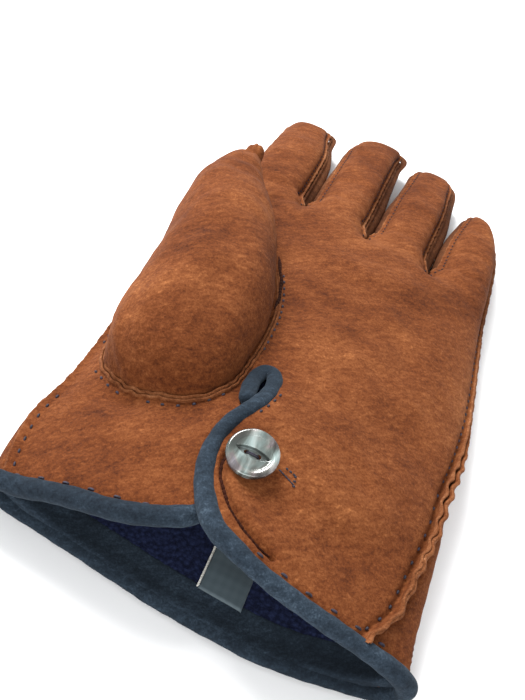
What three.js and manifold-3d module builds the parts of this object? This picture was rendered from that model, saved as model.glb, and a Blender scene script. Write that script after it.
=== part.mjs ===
// A left-hand driving glove of suede, lying palm up on the back of the hand.
// Millimetres, +X to the little-finger side, +Y to the fingertips, +Z up from the surface that it lies on.
import * as THREE from "three";
import { mergeVertices } from "three/addons/utils/BufferGeometryUtils.js";
import Module from "manifold-3d";

const wasm = await Module();
wasm.setup();

// Driving dimensions
const SUEDE = 1.6; // wall of the suede panels
const FLEECE = 2.0; // wall of the lining
const FACING = 1.2; // wall of the turned-in side of the binding
const GAP = 0.3; // air between two pieces that are sewn together
const FLANGE = 1.2; // how far a panel's sewn edge stands out past the fourchette
const ROLL_RADIUS = 2.6; // the rolled edge binding
const SEAM_RADIUS = 1.1; // the raised seam at the foot of the thumb
const UNDER_ROUND = 2.5; // squareness of the lower half of a section, 2 is an ellipse
const SETTLE = 1.12; // more than 1 presses the underside flat on the surface
const LINING_END = 62; // how deep the lining is built, from the cuff line
const FACING_WIDTH = 8;
const VENT_TOP = 62.6; // where the vent's slit ends in the palm
const THUMB_HOLE_END = 106; // where the palm closes again under the thumb
const LABEL = { x: 7.2, front: 4.2, width: 12.8, length: 22, thick: 0.8 };
const BUTTON = { x: 1, y: 25.5, radius: 7.5, thick: 2.6, lift: 1.4, tilt: 15, shank: 1.3 };
const FISH_EYE = { half: 4.6, across: 1.4, deep: 1.0 }; // the groove in the button's face
const THREAD_HOLE = { radius: 0.7, offset: 1.7 };
const BUTTONHOLE = { length: 13, width: 1.2, turn: 17, cut: 12 };
const SIDES = { hand: 24, finger: 12, thumb: 18, roll: 8, seam: 6, button: 20, shank: 14, hole: 8 };
const STEPS = { binding: 71, seam: 24 }; // along the rolled binding and along the thumb's seam

// A row is one cross-section at y: its left and right sides, its underside (0 where it isn't given), the
// height of its widest point (belt), its top, and how round its upper half is (1 a tent, 2 an ellipse, 4 a
// box). skew turns the section's line in plan, and lift is how much higher the overlapping flap lies there.
const HAND = [
  { y: -9, left: -57.8, right: 58.2, belt: 11, top: 28.2, round: 1.32, lift: 2.2 },
  { y: 2, left: -60.0, right: 58.4, belt: 11, top: 29.4, round: 1.35, lift: 2.5 },
  { y: 13, left: -62.2, right: 57.8, belt: 11, top: 30.4, round: 1.4, lift: 2.7 },
  { y: 25, left: -63.0, right: 57.8, belt: 11, top: 31.4, round: 1.45, lift: 2.8 },
  { y: 44, left: -60.0, right: 57.8, belt: 11, top: 32.2, round: 1.58, lift: 2.4 },
  { y: 53, left: -60.2, right: 57.2, belt: 11, top: 32.2, round: 1.64, lift: 1.4 },
  { y: 62, left: -60.8, right: 57.0, belt: 11, top: 32.0, round: 1.7, lift: 0 },
  { y: 75, left: -61.0, right: 57.2, belt: 11, top: 31.4, round: 1.78, lift: 0 },
  { y: 92, left: -60.4, right: 56.8, belt: 11, top: 30.8, round: 1.86, lift: 0 },
  { y: 112, left: -57.6, right: 55.8, belt: 11, top: 30.0, round: 1.98, lift: 0 },
  { y: 132, left: -55.4, right: 54.2, belt: 10.8, top: 28.8, round: 2.15, lift: 0 },
  { y: 148, left: -54.0, right: 53.3, belt: 10.6, top: 27.4, round: 2.4, lift: 0, skew: -0.1 },
  { y: 158, left: -53.4, right: 52.8, belt: 10.5, top: 26.0, round: 2.8, lift: 0, skew: -0.2 },
  { y: 162.5, left: -53.0, right: 52.6, belt: 10.4, top: 24.6, round: 3, lift: 0, skew: -0.2 },
];

const FINGERS = {
  index: [
    { y: 148, left: -53.2, right: -24.4, belt: 10.5, top: 23.2, round: 2.4 },
    { y: 168, left: -53.2, right: -24.8, belt: 10.5, top: 23.8, round: 2.6 },
    { y: 185, left: -53.4, right: -25.4, belt: 10, top: 22.6, round: 3.2 },
    { y: 215, left: -53.2, right: -26.4, belt: 9, top: 19.2, round: 3.4 },
    { y: 226, left: -52.2, right: -27.8, bottom: 0.6, belt: 8.5, top: 17.6, round: 3.4 },
    { y: 234, left: -50.0, right: -30.0, bottom: 1.6, belt: 8.2, top: 16.0, round: 3.2 },
    { y: 239.5, left: -46.4, right: -31.2, bottom: 3.0, belt: 8, top: 14.2, round: 3 },
    { y: 243.2, left: -42.0, right: -32.2, bottom: 5.0, belt: 8, top: 11.6, round: 2.6 },
  ],
  middle: [
    { y: 146, left: -25.4, right: 1.8, belt: 10.5, top: 25.2, round: 2.4 },
    { y: 166, left: -24.2, right: 1.3, belt: 10.5, top: 25.0, round: 2.6 },
    { y: 182, left: -24.6, right: 1.6, belt: 10, top: 23.6, round: 3.2 },
    { y: 220, left: -24.5, right: 2.2, belt: 9, top: 19.0, round: 3.4 },
    { y: 231, left: -24.2, right: 1.8, bottom: 0.6, belt: 8.5, top: 17.4, round: 3.4 },
    { y: 239.4, left: -22.6, right: 1.2, bottom: 1.6, belt: 8.2, top: 15.8, round: 3.2 },
    { y: 244.8, left: -18.2, right: 0.5, bottom: 3.0, belt: 8, top: 14.0, round: 3 },
    { y: 248, left: -12.4, right: -0.8, bottom: 5.0, belt: 8, top: 11.4, round: 2.6 },
  ],
  ring: [
    { y: 142, left: 0.8, right: 27.2, belt: 10.5, top: 24.8, round: 2.4 },
    { y: 160, left: 1.9, right: 27.0, belt: 10.5, top: 24.6, round: 2.6 },
    { y: 173, left: 2.4, right: 27.0, belt: 10, top: 23.8, round: 3.2 },
    { y: 207, left: 3.6, right: 28.0, belt: 9, top: 19.6, round: 3.4 },
    { y: 220, left: 4.7, right: 28.2, bottom: 0.6, belt: 8.5, top: 17.8, round: 3.4 },
    { y: 229.5, left: 5.8, right: 26.8, bottom: 1.6, belt: 8.2, top: 16.2, round: 3.2 },
    { y: 236.4, left: 7.4, right: 23.2, bottom: 3.0, belt: 8, top: 14.2, round: 3 },
    { y: 240, left: 10.0, right: 18.8, bottom: 5.0, belt: 8, top: 11.6, round: 2.6 },
  ],
  little: [
    { y: 134, left: 27.6, right: 53.0, belt: 10.5, top: 21.2, round: 2.2 },
    { y: 155, left: 27.7, right: 52.8, belt: 10.5, top: 22.2, round: 2.6 },
    { y: 170, left: 28.0, right: 52.4, belt: 10, top: 21.6, round: 3.2 },
    { y: 187, left: 28.8, right: 51.4, belt: 9.5, top: 20.0, round: 3.4 },
    { y: 199, left: 30.0, right: 49.8, belt: 9, top: 18.6, round: 3.4 },
    { y: 208, left: 31.6, right: 47.0, bottom: 0.6, belt: 8.5, top: 17.2, round: 3.2 },
    { y: 215.4, left: 33.8, right: 43.4, bottom: 2.2, belt: 8, top: 15.2, round: 3 },
    { y: 220.4, left: 36.0, right: 40.4, bottom: 5.0, belt: 8, top: 12.0, round: 2.6 },
  ],
};

// The thumb folded over the palm. Up to y 104 its foot reaches down through the palm, past that it lies free.
const THUMB = [
  { y: 42.5, left: -39.0, right: -24.0, bottom: 22, belt: 28.6, top: 34.0, round: 2 },
  { y: 46, left: -46.5, right: -18.6, bottom: 18, belt: 29, top: 38.6, round: 2 },
  { y: 52, left: -52.0, right: -15.0, bottom: 13, belt: 29.5, top: 42.8, round: 2.1 },
  { y: 61, left: -53.6, right: -13.2, bottom: 12, belt: 30.5, top: 46.8, round: 2.1 },
  { y: 73, left: -54.0, right: -12.8, bottom: 12, belt: 31.5, top: 49.6, round: 2.1 },
  { y: 88, left: -54.2, right: -14.2, bottom: 12, belt: 32.5, top: 51.0, round: 2.1 },
  { y: 104, left: -55.2, right: -19.0, bottom: 13, belt: 33.5, top: 50.8, round: 2.1 },
  { y: 114, left: -56.8, right: -22.6, bottom: 27, belt: 34.5, top: 50.0, round: 2.1 },
  { y: 130, left: -58.0, right: -29.6, bottom: 27, belt: 35, top: 47.6, round: 2.2 },
  { y: 142, left: -57.9, right: -36.0, bottom: 27, belt: 34.6, top: 44.6, round: 2.3 },
  { y: 152, left: -56.2, right: -41.4, bottom: 27.6, belt: 34, top: 41.4, round: 2.4 },
  { y: 158.5, left: -54.2, right: -44.6, bottom: 29, belt: 33.6, top: 38.8, round: 2.4 },
  { y: 161.5, left: -52.4, right: -46.6, bottom: 31, belt: 33.4, top: 36.4, round: 2.2 },
];

// Heights of the seams along the glove: where palm and back meet on the little-finger side and on the thumb
// side, and the upper and lower seams of the fourchettes between the fingers.
const LITTLE_SIDE_SEAM = [
  { y: -12, z: 16.4 },
  { y: 50, z: 16 },
  { y: 75, z: 13.8 },
  { y: 96, z: 12 },
  { y: 165, z: 10.5 },
  { y: 225, z: 9 },
  { y: 250, z: 8 },
];
const THUMB_SIDE_SEAM = [
  { y: -12, z: 14.8 },
  { y: 30, z: 14 },
  { y: 60, z: 12.4 },
  { y: 165, z: 10.5 },
  { y: 225, z: 9 },
  { y: 250, z: 8 },
];
const UPPER_SEAM = [
  { y: 140, z: 19.4 },
  { y: 165, z: 18.8 },
  { y: 200, z: 15.6 },
  { y: 225, z: 12.4 },
  { y: 246, z: 9 },
];
const LOWER_SEAM = [
  { y: 140, z: 4.6 },
  { y: 225, z: 5.2 },
  { y: 246, z: 7.6 },
];
const FOURCHETTES = [
  { name: "fourchette_index_middle", from: -38.6, to: -12 },
  { name: "fourchette_middle_ring", from: -12, to: 14.6 },
  { name: "fourchette_ring_little", from: 14.6, to: 40.6 },
];

// The middle of the rolled binding in plan: round the teardrop at the top of the vent, down the overlapping
// flap, along its cuff edge, across the back, and along the other flap to where it dips under the first.
const VENT_EDGE = [
  { x: -7.6, y: 47 },
  { x: -8.4, y: 51.5 },
  { x: -8.6, y: 56 },
  { x: -8.2, y: 60 },
  { x: -6.8, y: 62.4 },
  { x: -4.8, y: 62.4 },
  { x: -3.2, y: 60 },
  { x: -2.6, y: 56 },
  { x: -2.8, y: 51.5 },
  { x: -4.0, y: 46.5 },
  { x: -5.8, y: 41.5 },
  { x: -8.0, y: 36.5 },
  { x: -9.4, y: 31 },
  { x: -9.7, y: 24.5 },
  { x: -8.8, y: 18.8 },
  { x: -7.1, y: 13.8 },
  { x: -4.7, y: 9.2 },
  { x: -1.9, y: 5.1 },
  { x: 1.6, y: 2.1 },
  { x: 6, y: 0.4 },
  { x: 12.4, y: -1.5 },
  { x: 19, y: -2.6 },
  { x: 27, y: -3.0 },
  { x: 35.5, y: -3.0 },
  { x: 42.5, y: -2.7 },
  { x: 49.5, y: -2.2 },
];
const UNDER_FLAP_EDGE = [
  { x: -51, y: 1.9 },
  { x: -42, y: 1.5 },
  { x: -34, y: 1.0 },
  { x: -25.6, y: 0.6 },
  { x: -18, y: 1.6 },
  { x: -11.4, y: 4.0, dip: 0.8 },
  { x: -7, y: 7.2, dip: 1.8 },
  { x: -4.2, y: 12, dip: 2.6 },
];
const RIGHT_CORNER = [
  { x: 55.6, y: -1.8, z: 13.0 },
  { x: 58.8, y: -1.0, z: 8.8 },
  { x: 57.8, y: -0.4, z: 4.6 },
];
const LEFT_CORNER = [
  { x: -59.0, y: 5.4, z: 4.6 },
  { x: -61.0, y: 3.8, z: 9.2 },
  { x: -57.6, y: 2.3, z: 14.2 },
];
const BACK_EDGE = [
  { x: 53.6, y: -0.8 },
  { x: 48, y: -2 },
  { x: 35, y: -4 },
  { x: 22, y: -5.1 },
  { x: 8, y: -4.2 },
  { x: -7, y: -2.6 },
  { x: -23, y: 0.2 },
  { x: -39, y: 3.1 },
  { x: -54.6, y: 5.8 },
];
// The free edge of the flap that lies underneath, hidden by the other one.
const HIDDEN_EDGE = [
  { x: -1.5, y: 16 },
  { x: 0.5, y: 25 },
  { x: 0, y: 36 },
  { x: -3, y: 44 },
  { x: -7.4, y: 48.4 },
];
// The seam at the foot of the thumb, in plan, from the outer side round the palm and up beside the thumb.
const THUMB_SEAM = [
  { x: -57.0, y: 92 },
  { x: -56.8, y: 78 },
  { x: -56.2, y: 66 },
  { x: -54.4, y: 55.5 },
  { x: -49.6, y: 47.6 },
  { x: -42, y: 42.6 },
  { x: -32, y: 40.6 },
  { x: -22.6, y: 41.6 },
  { x: -16.4, y: 46.2 },
  { x: -13.4, y: 54 },
  { x: -12.0, y: 64 },
  { x: -11.7, y: 76 },
  { x: -12.7, y: 90 },
  { x: -15.8, y: 102 },
  { x: -19.4, y: 111 },
];

const FAR = 120; // past the object on every side
const TIP = 300; // past the fingertips
const FLOOR = -1; // under the object

// A geometry as a solid that can be joined and cut.
function solid(geometry) {
  const bare = new THREE.BufferGeometry().setAttribute(
    "position",
    (geometry.index ? geometry.toNonIndexed() : geometry).getAttribute("position"),
  );
  const merged = mergeVertices(bare, 1e-3);
  const vertProperties = merged.attributes.position.array;
  const triVerts = new Uint32Array(merged.index.array);
  return new wasm.Manifold(new wasm.Mesh({ numProp: 3, vertProperties, triVerts }));
}

function geometryOf(made) {
  const { vertProperties, triVerts } = made.getMesh();
  return new THREE.BufferGeometry()
    .setAttribute("position", new THREE.BufferAttribute(vertProperties, 3))
    .setIndex(new THREE.BufferAttribute(triVerts, 1))
    .toNonIndexed();
}

const joined = (solids) => solids.reduce((all, one) => all.add(one));

// The largest body of a cut piece, once near points have met: trimming a thin wall can leave crumbs.
function largest(made) {
  const bodies = solid(geometryOf(made)).decompose();
  return bodies.reduce((best, body) => (body.volume() > best.volume() ? body : best));
}

// The outline of a row: an upper and a lower half that meet at the belt.
function outline(row, sides) {
  const centre = (row.left + row.right) / 2;
  const half = (row.right - row.left) / 2;
  return Array.from({ length: sides }, (_, i) => {
    const angle = (2 * Math.PI * i) / sides;
    const across = Math.cos(angle);
    const up = Math.sin(angle);
    const power = 2 / (up >= 0 ? row.round : UNDER_ROUND);
    const x = centre + half * Math.sign(across) * Math.abs(across) ** power;
    const rise = Math.abs(up) ** power;
    const z =
      up >= 0
        ? row.belt + (row.top - row.belt) * rise
        : row.belt - (row.belt - row.bottom) * Math.min(1, SETTLE * rise);
    return new THREE.Vector3(x, row.y + (row.skew ?? 0) * x, z);
  });
}

// A closed skin through the outlines of all rows.
function loft(rows, sides) {
  const rings = rows.map((row) => outline({ bottom: 0, ...row }, sides));
  const points = rings.flat();
  const faces = [];
  for (let r = 0; r < rings.length - 1; r++) {
    for (let i = 0; i < sides; i++) {
      const a = r * sides + i;
      const b = r * sides + ((i + 1) % sides);
      faces.push(a, b + sides, b, a, a + sides, b + sides);
    }
  }
  const last = (rings.length - 1) * sides;
  for (let i = 1; i < sides - 1; i++) {
    faces.push(0, i, i + 1, last, last + i + 1, last + i);
  }
  const geometry = new THREE.BufferGeometry().setFromPoints(points).setIndex(faces);
  return solid(geometry);
}

// The same rows with every side and both ends moved in by a wall. Rows that have no room left are dropped.
function inset(rows, wall, sideWall = wall) {
  const endShift = (i) => (i === 0 ? wall : i === rows.length - 1 ? -wall : 0);
  return rows
    .map((row, i) => ({
      ...row,
      y: row.y + endShift(i),
      left: row.left + sideWall,
      right: row.right - sideWall,
      bottom: (row.bottom ?? 0) + wall,
      top: row.top - wall,
    }))
    .filter((row) => row.right - row.left > 3 && row.top - row.bottom > 4);
}

// A value of the hand's rows at any y, straight between two rows.
function handAt(y, column) {
  const i = Math.max(1, HAND.findIndex((row) => row.y >= y));
  const [a, b] = [HAND[i - 1], HAND[i]];
  return THREE.MathUtils.mapLinear(y, a.y, b.y, a[column], b[column]);
}

// The height of the palm at a place in plan, with the share of the flap's lift that applies there.
function palmHeight(x, y, lifted = 0) {
  const [left, right, belt, top, round, lift] = ["left", "right", "belt", "top", "round", "lift"].map(
    (column) => handAt(y, column),
  );
  const across = Math.min(1, Math.abs((2 * x - left - right) / (right - left)));
  return belt + (top + lifted * lift - belt) * (1 - across ** round) ** (1 / round);
}

// A flat outline in plan, as a block from under the object to far above it.
function planBlock(points) {
  const shape = new THREE.Shape(points.map(({ x, y }) => new THREE.Vector2(x, y)));
  const block = new THREE.ExtrudeGeometry(shape, { depth: FAR, bevelEnabled: false });
  return solid(block.translate(0, 0, FLOOR));
}

// The same between two places along the glove, right across it.
const strip = (from, to) =>
  planBlock([
    { x: -FAR, y: from },
    { x: FAR, y: from },
    { x: FAR, y: to },
    { x: -FAR, y: to },
  ]);

// A flat outline seen from the side, as a block between two places across.
function sideBlock(points, from, to) {
  const shape = new THREE.Shape(points.map(({ y, z }) => new THREE.Vector2(y, z)));
  const block = new THREE.ExtrudeGeometry(shape, { depth: to - from, bevelEnabled: false });
  const turn = new THREE.Matrix4().makeBasis(
    new THREE.Vector3(0, 1, 0),
    new THREE.Vector3(0, 0, 1),
    new THREE.Vector3(1, 0, 0),
  );
  return solid(block.applyMatrix4(turn).translate(from, 0, 0));
}

// A round cord along a smooth curve. Its steps are shared out evenly between the given points, so that a
// tight bend with points close together has short steps.
function sweep(points, radius, sides, steps) {
  const section = new THREE.Shape(
    Array.from({ length: sides }, (_, i) => {
      const angle = (2 * Math.PI * i) / sides;
      return new THREE.Vector2(radius * Math.cos(angle), radius * Math.sin(angle));
    }),
  );
  const path = new THREE.CatmullRomCurve3(points, false, "centripetal");
  path.getUtoTmapping = (share) => share;
  return solid(new THREE.ExtrudeGeometry(section, { steps, extrudePath: path, bevelEnabled: false }));
}

const raised = (line, by) => line.map(({ y, z }) => ({ y, z: z + by }));
const above = (line, by) => [...raised(line, by), { y: line.at(-1).y, z: FAR }, { y: line[0].y, z: FAR }];
const below = (line, by) => [
  ...raised(line, by),
  { y: line.at(-1).y, z: FLOOR },
  { y: line[0].y, z: FLOOR },
];
const between = (low, high, by) => [...raised(low, -by), ...raised(high, by).reverse()];

// The binding, from the teardrop over the flap, round the cuff and back to the vent.
const MID_WALL = SUEDE / 2;
function bindingPath() {
  const top = (edge, lifted) =>
    edge.map(({ x, y, dip = 0 }) => {
      return new THREE.Vector3(x, y, palmHeight(x, y, lifted) - MID_WALL - dip);
    });
  const given = (edge) => edge.map(({ x, y, z }) => new THREE.Vector3(x, y, z));
  const back = BACK_EDGE.map(({ x, y }) => new THREE.Vector3(x, y, ROLL_RADIUS + GAP));
  return [
    ...top(VENT_EDGE, 1),
    ...given(RIGHT_CORNER),
    ...back,
    ...given(LEFT_CORNER),
    ...top(UNDER_FLAP_EDGE, 0),
  ];
}
const bindingLine = bindingPath();
const binding = sweep(bindingLine, ROLL_RADIUS, SIDES.roll, STEPS.binding);
const bindingSeat = sweep(bindingLine, ROLL_RADIUS + GAP, SIDES.roll, STEPS.binding);

// The outer skin of the hand, its hollow, and the same two for the flap that lies on top.
const overlapping = HAND.map((row) => ({ ...row, top: row.top + row.lift }));
const fingerRows = Object.values(FINGERS);
const fingers = joined(fingerRows.map((rows) => loft(rows, SIDES.finger)));
const slimFingers = joined(fingerRows.map((rows) => loft(inset(rows, 0, FLANGE), SIDES.finger)));
const fingerHollows = joined(
  fingerRows.map((rows) => loft(inset(rows, SUEDE, SUEDE + FLANGE), SIDES.finger)),
);
const hand = loft(HAND, SIDES.hand);
const hollow = loft(inset(HAND, SUEDE), SIDES.hand).add(fingerHollows);
const skin = hand.add(fingers).subtract(hollow);
const flapHollow = loft(inset(overlapping, SUEDE), SIDES.hand).add(fingerHollows);
const flapSkin = loft(overlapping, SIDES.hand).add(fingers).subtract(flapHollow);
const slimSkin = hand.add(slimFingers).subtract(hollow);

// What the cuff line and the vent leave of each piece, in plan. The flaps run a little into the rest, and the
// flap underneath reaches past the vent as far as its hidden edge.
const flapEnd = VENT_TOP + 1;
const rest = strip(VENT_TOP, TIP);
const teardropTop = VENT_EDGE.findIndex(({ x }) => x > -5);
const flapPlan = planBlock([
  ...VENT_EDGE.slice(teardropTop),
  { x: RIGHT_CORNER[0].x, y: RIGHT_CORNER[0].y },
  { x: FAR, y: RIGHT_CORNER[0].y },
  { x: FAR, y: flapEnd },
  { x: VENT_EDGE[teardropTop].x, y: flapEnd },
]);
const underPlan = planBlock([
  { x: -FAR, y: LEFT_CORNER.at(-1).y },
  { x: LEFT_CORNER.at(-1).x, y: LEFT_CORNER.at(-1).y },
  ...UNDER_FLAP_EDGE,
  ...HIDDEN_EDGE,
  ...VENT_EDGE.slice(1, teardropTop),
  { x: VENT_EDGE[teardropTop - 1].x, y: flapEnd },
  { x: -FAR, y: flapEnd },
]);
const backPlan = planBlock([
  { x: FAR, y: BACK_EDGE[0].y },
  ...BACK_EDGE,
  { x: -FAR, y: BACK_EDGE.at(-1).y },
  { x: -FAR, y: TIP },
  { x: FAR, y: TIP },
]);

const upperSide = sideBlock(above(THUMB_SIDE_SEAM, GAP / 2), -FAR, 0).add(
  sideBlock(above(LITTLE_SIDE_SEAM, GAP / 2), 0, FAR),
);
const lowerSide = sideBlock(below(THUMB_SIDE_SEAM, -GAP / 2), -FAR, 0).add(
  sideBlock(below(LITTLE_SIDE_SEAM, -GAP / 2), 0, FAR),
);
const gussetRoom = sideBlock(
  between(LOWER_SEAM, UPPER_SEAM, GAP / 2),
  FOURCHETTES[0].from,
  FOURCHETTES.at(-1).to,
);

// The thumb stands on the grown skin of the hand, over a hole of its own inner outline.
const grownHand = loft(inset(HAND, -GAP), SIDES.hand).add(
  joined(fingerRows.map((rows) => loft(inset(rows, -GAP), SIDES.finger))),
);
const thumbHollow = loft(inset(THUMB, SUEDE), SIDES.thumb);
const thumbFoot = thumbHollow.intersect(strip(0, THUMB_HOLE_END));
const thumb = largest(loft(THUMB, SIDES.thumb).subtract(grownHand).subtract(thumbHollow));

// The button sits on its thread shank, leaning toward the cuff, over the end of the buttonhole.
const tilt = THREE.MathUtils.degToRad(BUTTON.tilt);
const shankTop = palmHeight(BUTTON.x, BUTTON.y, 1) + BUTTON.lift;
const upright = (radius, length, sides) =>
  new THREE.CylinderGeometry(radius, radius, length, sides).rotateX(Math.PI / 2);
function buttonPlace(geometry) {
  return geometry.rotateX(tilt).translate(BUTTON.x, BUTTON.y, shankTop);
}
function buttonSolid() {
  const { radius, thick } = BUTTON;
  const profile = [
    [0, 0],
    [radius - 1.4, 0],
    [radius - 0.3, 0.7],
    [radius, 1.4],
    [radius - 0.3, 2.2],
    [radius - 1.0, thick],
    [radius - 2.0, thick - 0.1],
    [radius - 3.2, thick - 0.5],
    [0, thick - 0.6],
  ].map(([r, z]) => new THREE.Vector2(r, z));
  const disc = new THREE.LatheGeometry(profile, SIDES.button).rotateX(Math.PI / 2);
  const eye = new THREE.SphereGeometry(1, 16, 6).scale(FISH_EYE.half, FISH_EYE.across, FISH_EYE.deep);
  const holes = [-THREAD_HOLE.offset, THREAD_HOLE.offset].map((x) =>
    upright(THREAD_HOLE.radius, 4 * thick, SIDES.hole).translate(x, 0, 0),
  );
  return [eye.translate(0, 0, thick - GAP), ...holes].reduce(
    (made, cut) => made.subtract(solid(buttonPlace(cut))),
    solid(buttonPlace(disc)),
  );
}
// The shank's upper end keeps clear of the button's lowered edge of the same radius.
const shankFoot = palmHeight(BUTTON.x, BUTTON.y, 0) + GAP;
const shankHead = shankTop - GAP - BUTTON.shank * Math.tan(tilt);
const shank = solid(
  upright(BUTTON.shank, shankHead - shankFoot, SIDES.shank).translate(
    BUTTON.x,
    BUTTON.y,
    (shankHead + shankFoot) / 2,
  ),
);
const slit = new THREE.BoxGeometry(BUTTONHOLE.length, BUTTONHOLE.width, BUTTONHOLE.cut)
  .translate(BUTTONHOLE.length / 2, 0, 0)
  .rotateZ(THREE.MathUtils.degToRad(BUTTONHOLE.turn))
  .translate(BUTTON.x, BUTTON.y, shankTop);
const buttonhole = solid(slit).add(
  solid(upright(BUTTON.shank + GAP, BUTTONHOLE.cut, SIDES.shank).translate(BUTTON.x, BUTTON.y, shankTop)),
);

// The suede pieces
const flap = flapSkin.intersect(flapPlan).subtract(buttonhole);
const palm = largest(
  skin
    .intersect(underPlan.add(rest))
    .add(flap)
    .intersect(upperSide)
    .subtract(gussetRoom)
    .subtract(bindingSeat)
    .subtract(thumbFoot),
);
const back = largest(
  skin.intersect(backPlan).intersect(lowerSide).subtract(gussetRoom).subtract(bindingSeat),
);
function fourchette({ from, to }) {
  const room = sideBlock(between(LOWER_SEAM, UPPER_SEAM, -GAP / 2), from + GAP / 2, to - GAP / 2);
  return largest(slimSkin.intersect(room));
}

// The raised seam lies in the corner between the palm and the foot of the thumb.
const seamPath = THUMB_SEAM.map(
  ({ x, y }) => new THREE.Vector3(x, y, palmHeight(x, y) + SEAM_RADIUS),
);
const thumbSeam = largest(
  sweep(seamPath, SEAM_RADIUS, SIDES.seam, STEPS.seam)
    .subtract(grownHand)
    .subtract(loft(inset(THUMB, -GAP), SIDES.thumb)),
);

// The facing and the lining follow the skin inside, one after the other from the cuff.
const insideSkin = (outer, wall) =>
  loft(inset(HAND, outer), SIDES.hand).subtract(loft(inset(HAND, outer + wall), SIDES.hand));
function cuffBand(from, to) {
  const edge = [{ x: FAR, y: BACK_EDGE[0].y }, ...BACK_EDGE, { x: -FAR, y: BACK_EDGE.at(-1).y }];
  const moved = (by) => edge.map(({ x, y }) => ({ x, y: y + by }));
  return planBlock([...moved(from).reverse(), ...moved(to)]);
}
const facing = largest(
  insideSkin(SUEDE + GAP, FACING)
    .intersect(cuffBand(0, FACING_WIDTH))
    .intersect(lowerSide)
    .subtract(bindingSeat),
);
const lining = largest(
  insideSkin(SUEDE + GAP, FLEECE)
    .intersect(cuffBand(FACING_WIDTH + GAP, LINING_END))
    .subtract(bindingSeat)
    .subtract(thumbFoot),
);
const labelHeight = SUEDE + GAP + FLEECE + GAP;
const label = solid(
  new THREE.BoxGeometry(LABEL.width, LABEL.length, LABEL.thick).translate(
    LABEL.x,
    LABEL.front + LABEL.length / 2,
    labelHeight + LABEL.thick / 2,
  ),
);

const FINISH = {
  suede: { color: 0x8f5232, roughness: 0.95, metalness: 0 },
  darkSuede: { color: 0x303c49, roughness: 0.9, metalness: 0 },
  fleece: { color: 0x12162a, roughness: 1, metalness: 0 },
  woven: { color: 0x39454a, roughness: 0.85, metalness: 0 },
  pearl: { color: 0xa9afaa, roughness: 0.25, metalness: 0 },
  thread: { color: 0x3d3950, roughness: 0.8, metalness: 0 },
};
const PIECES = [
  { name: "palm_panel", made: palm, finish: "suede" },
  { name: "back_panel", made: back, finish: "suede" },
  ...FOURCHETTES.map((row) => ({ name: row.name, made: fourchette(row), finish: "suede" })),
  { name: "thumb", made: thumb, finish: "suede" },
  { name: "thumb_seam", made: thumbSeam, finish: "suede" },
  { name: "cuff_binding", made: binding, finish: "darkSuede" },
  { name: "cuff_facing", made: facing, finish: "darkSuede" },
  { name: "cuff_lining", made: lining, finish: "fleece" },
  { name: "label", made: label, finish: "woven" },
  { name: "button", made: buttonSolid(), finish: "pearl" },
  { name: "button_shank", made: shank, finish: "thread" },
];

const glove = new THREE.Group();
for (const { name, made, finish } of PIECES) {
  const mesh = new THREE.Mesh(geometryOf(made), new THREE.MeshStandardMaterial(FINISH[finish]));
  mesh.name = name;
  glove.add(mesh);
}

// The origin is the middle of the footprint, on the surface.
const box = new THREE.Box3().setFromObject(glove);
glove.position.set(-(box.min.x + box.max.x) / 2, -(box.min.y + box.max.y) / 2, -box.min.z);

export default glove;
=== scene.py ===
# %% [markdown]
# # A suede driving glove, lying palm up
#
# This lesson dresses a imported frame, which holds the glove's pieces as plain faceted solids, with soft
# leather, fleece, thread and mother-of-pearl. Each solid is hidden, and a finer mesh takes its place.
# The real glove is cut from a few flat pieces, so the meshes are cut the same way: a palm and a back with
# slits between the fingers, strips that join them, a thumb, and a binding sewn round the cuff.

# %% Load the frame
import math

import bmesh
import bpy
import numpy as np
from mathutils import Matrix, Vector


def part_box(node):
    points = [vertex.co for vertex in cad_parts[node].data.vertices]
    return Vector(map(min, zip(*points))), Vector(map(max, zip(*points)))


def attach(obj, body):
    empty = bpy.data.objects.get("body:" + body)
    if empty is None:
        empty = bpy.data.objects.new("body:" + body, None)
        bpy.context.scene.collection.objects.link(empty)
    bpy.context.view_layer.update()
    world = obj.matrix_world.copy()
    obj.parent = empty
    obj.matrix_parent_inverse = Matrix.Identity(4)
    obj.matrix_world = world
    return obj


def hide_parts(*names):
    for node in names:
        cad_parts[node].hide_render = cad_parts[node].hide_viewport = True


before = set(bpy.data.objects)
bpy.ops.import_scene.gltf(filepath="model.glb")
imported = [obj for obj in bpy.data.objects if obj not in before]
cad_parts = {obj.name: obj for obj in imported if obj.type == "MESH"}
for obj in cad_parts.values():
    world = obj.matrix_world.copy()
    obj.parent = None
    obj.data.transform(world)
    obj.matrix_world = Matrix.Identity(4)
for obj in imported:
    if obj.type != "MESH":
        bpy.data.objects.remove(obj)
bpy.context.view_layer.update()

print("nodes in the frame:", ", ".join(sorted(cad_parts)))

# %% [markdown]
# The glove is laid out in millimetres from the middle of the cuff line: +X to the little finger, +Y to the
# fingertips and +Z up. The frame has its origin in the middle of the footprint. The label is a plain box
# whose corner is known in both, so it gives the shift from one to the other.

# %% Millimetres to the frame
MM = 0.001
LABEL = {"x": 7.2, "front": 4.2, "width": 12.8, "length": 22.0, "thick": 0.8}

label_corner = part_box("label")[0] / MM
SHIFT = np.array([label_corner.x - LABEL["x"] + LABEL["width"] / 2, label_corner.y - LABEL["front"], 0.0])
print("shift to the frame, mm:", np.round(SHIFT, 2))


def to_frame(points):
    """Points in glove millimetres, as metres in the frame."""
    return (np.asarray(points, float) + SHIFT) * MM


# %% [markdown]
# Every cross-section of the glove is a superellipse, as it is in the solids: two halves that meet at the
# widest height, called the belt. A short table gives its size at a few places along the glove, and a smooth
# curve runs through each column, so the leather has no facets.

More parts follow.
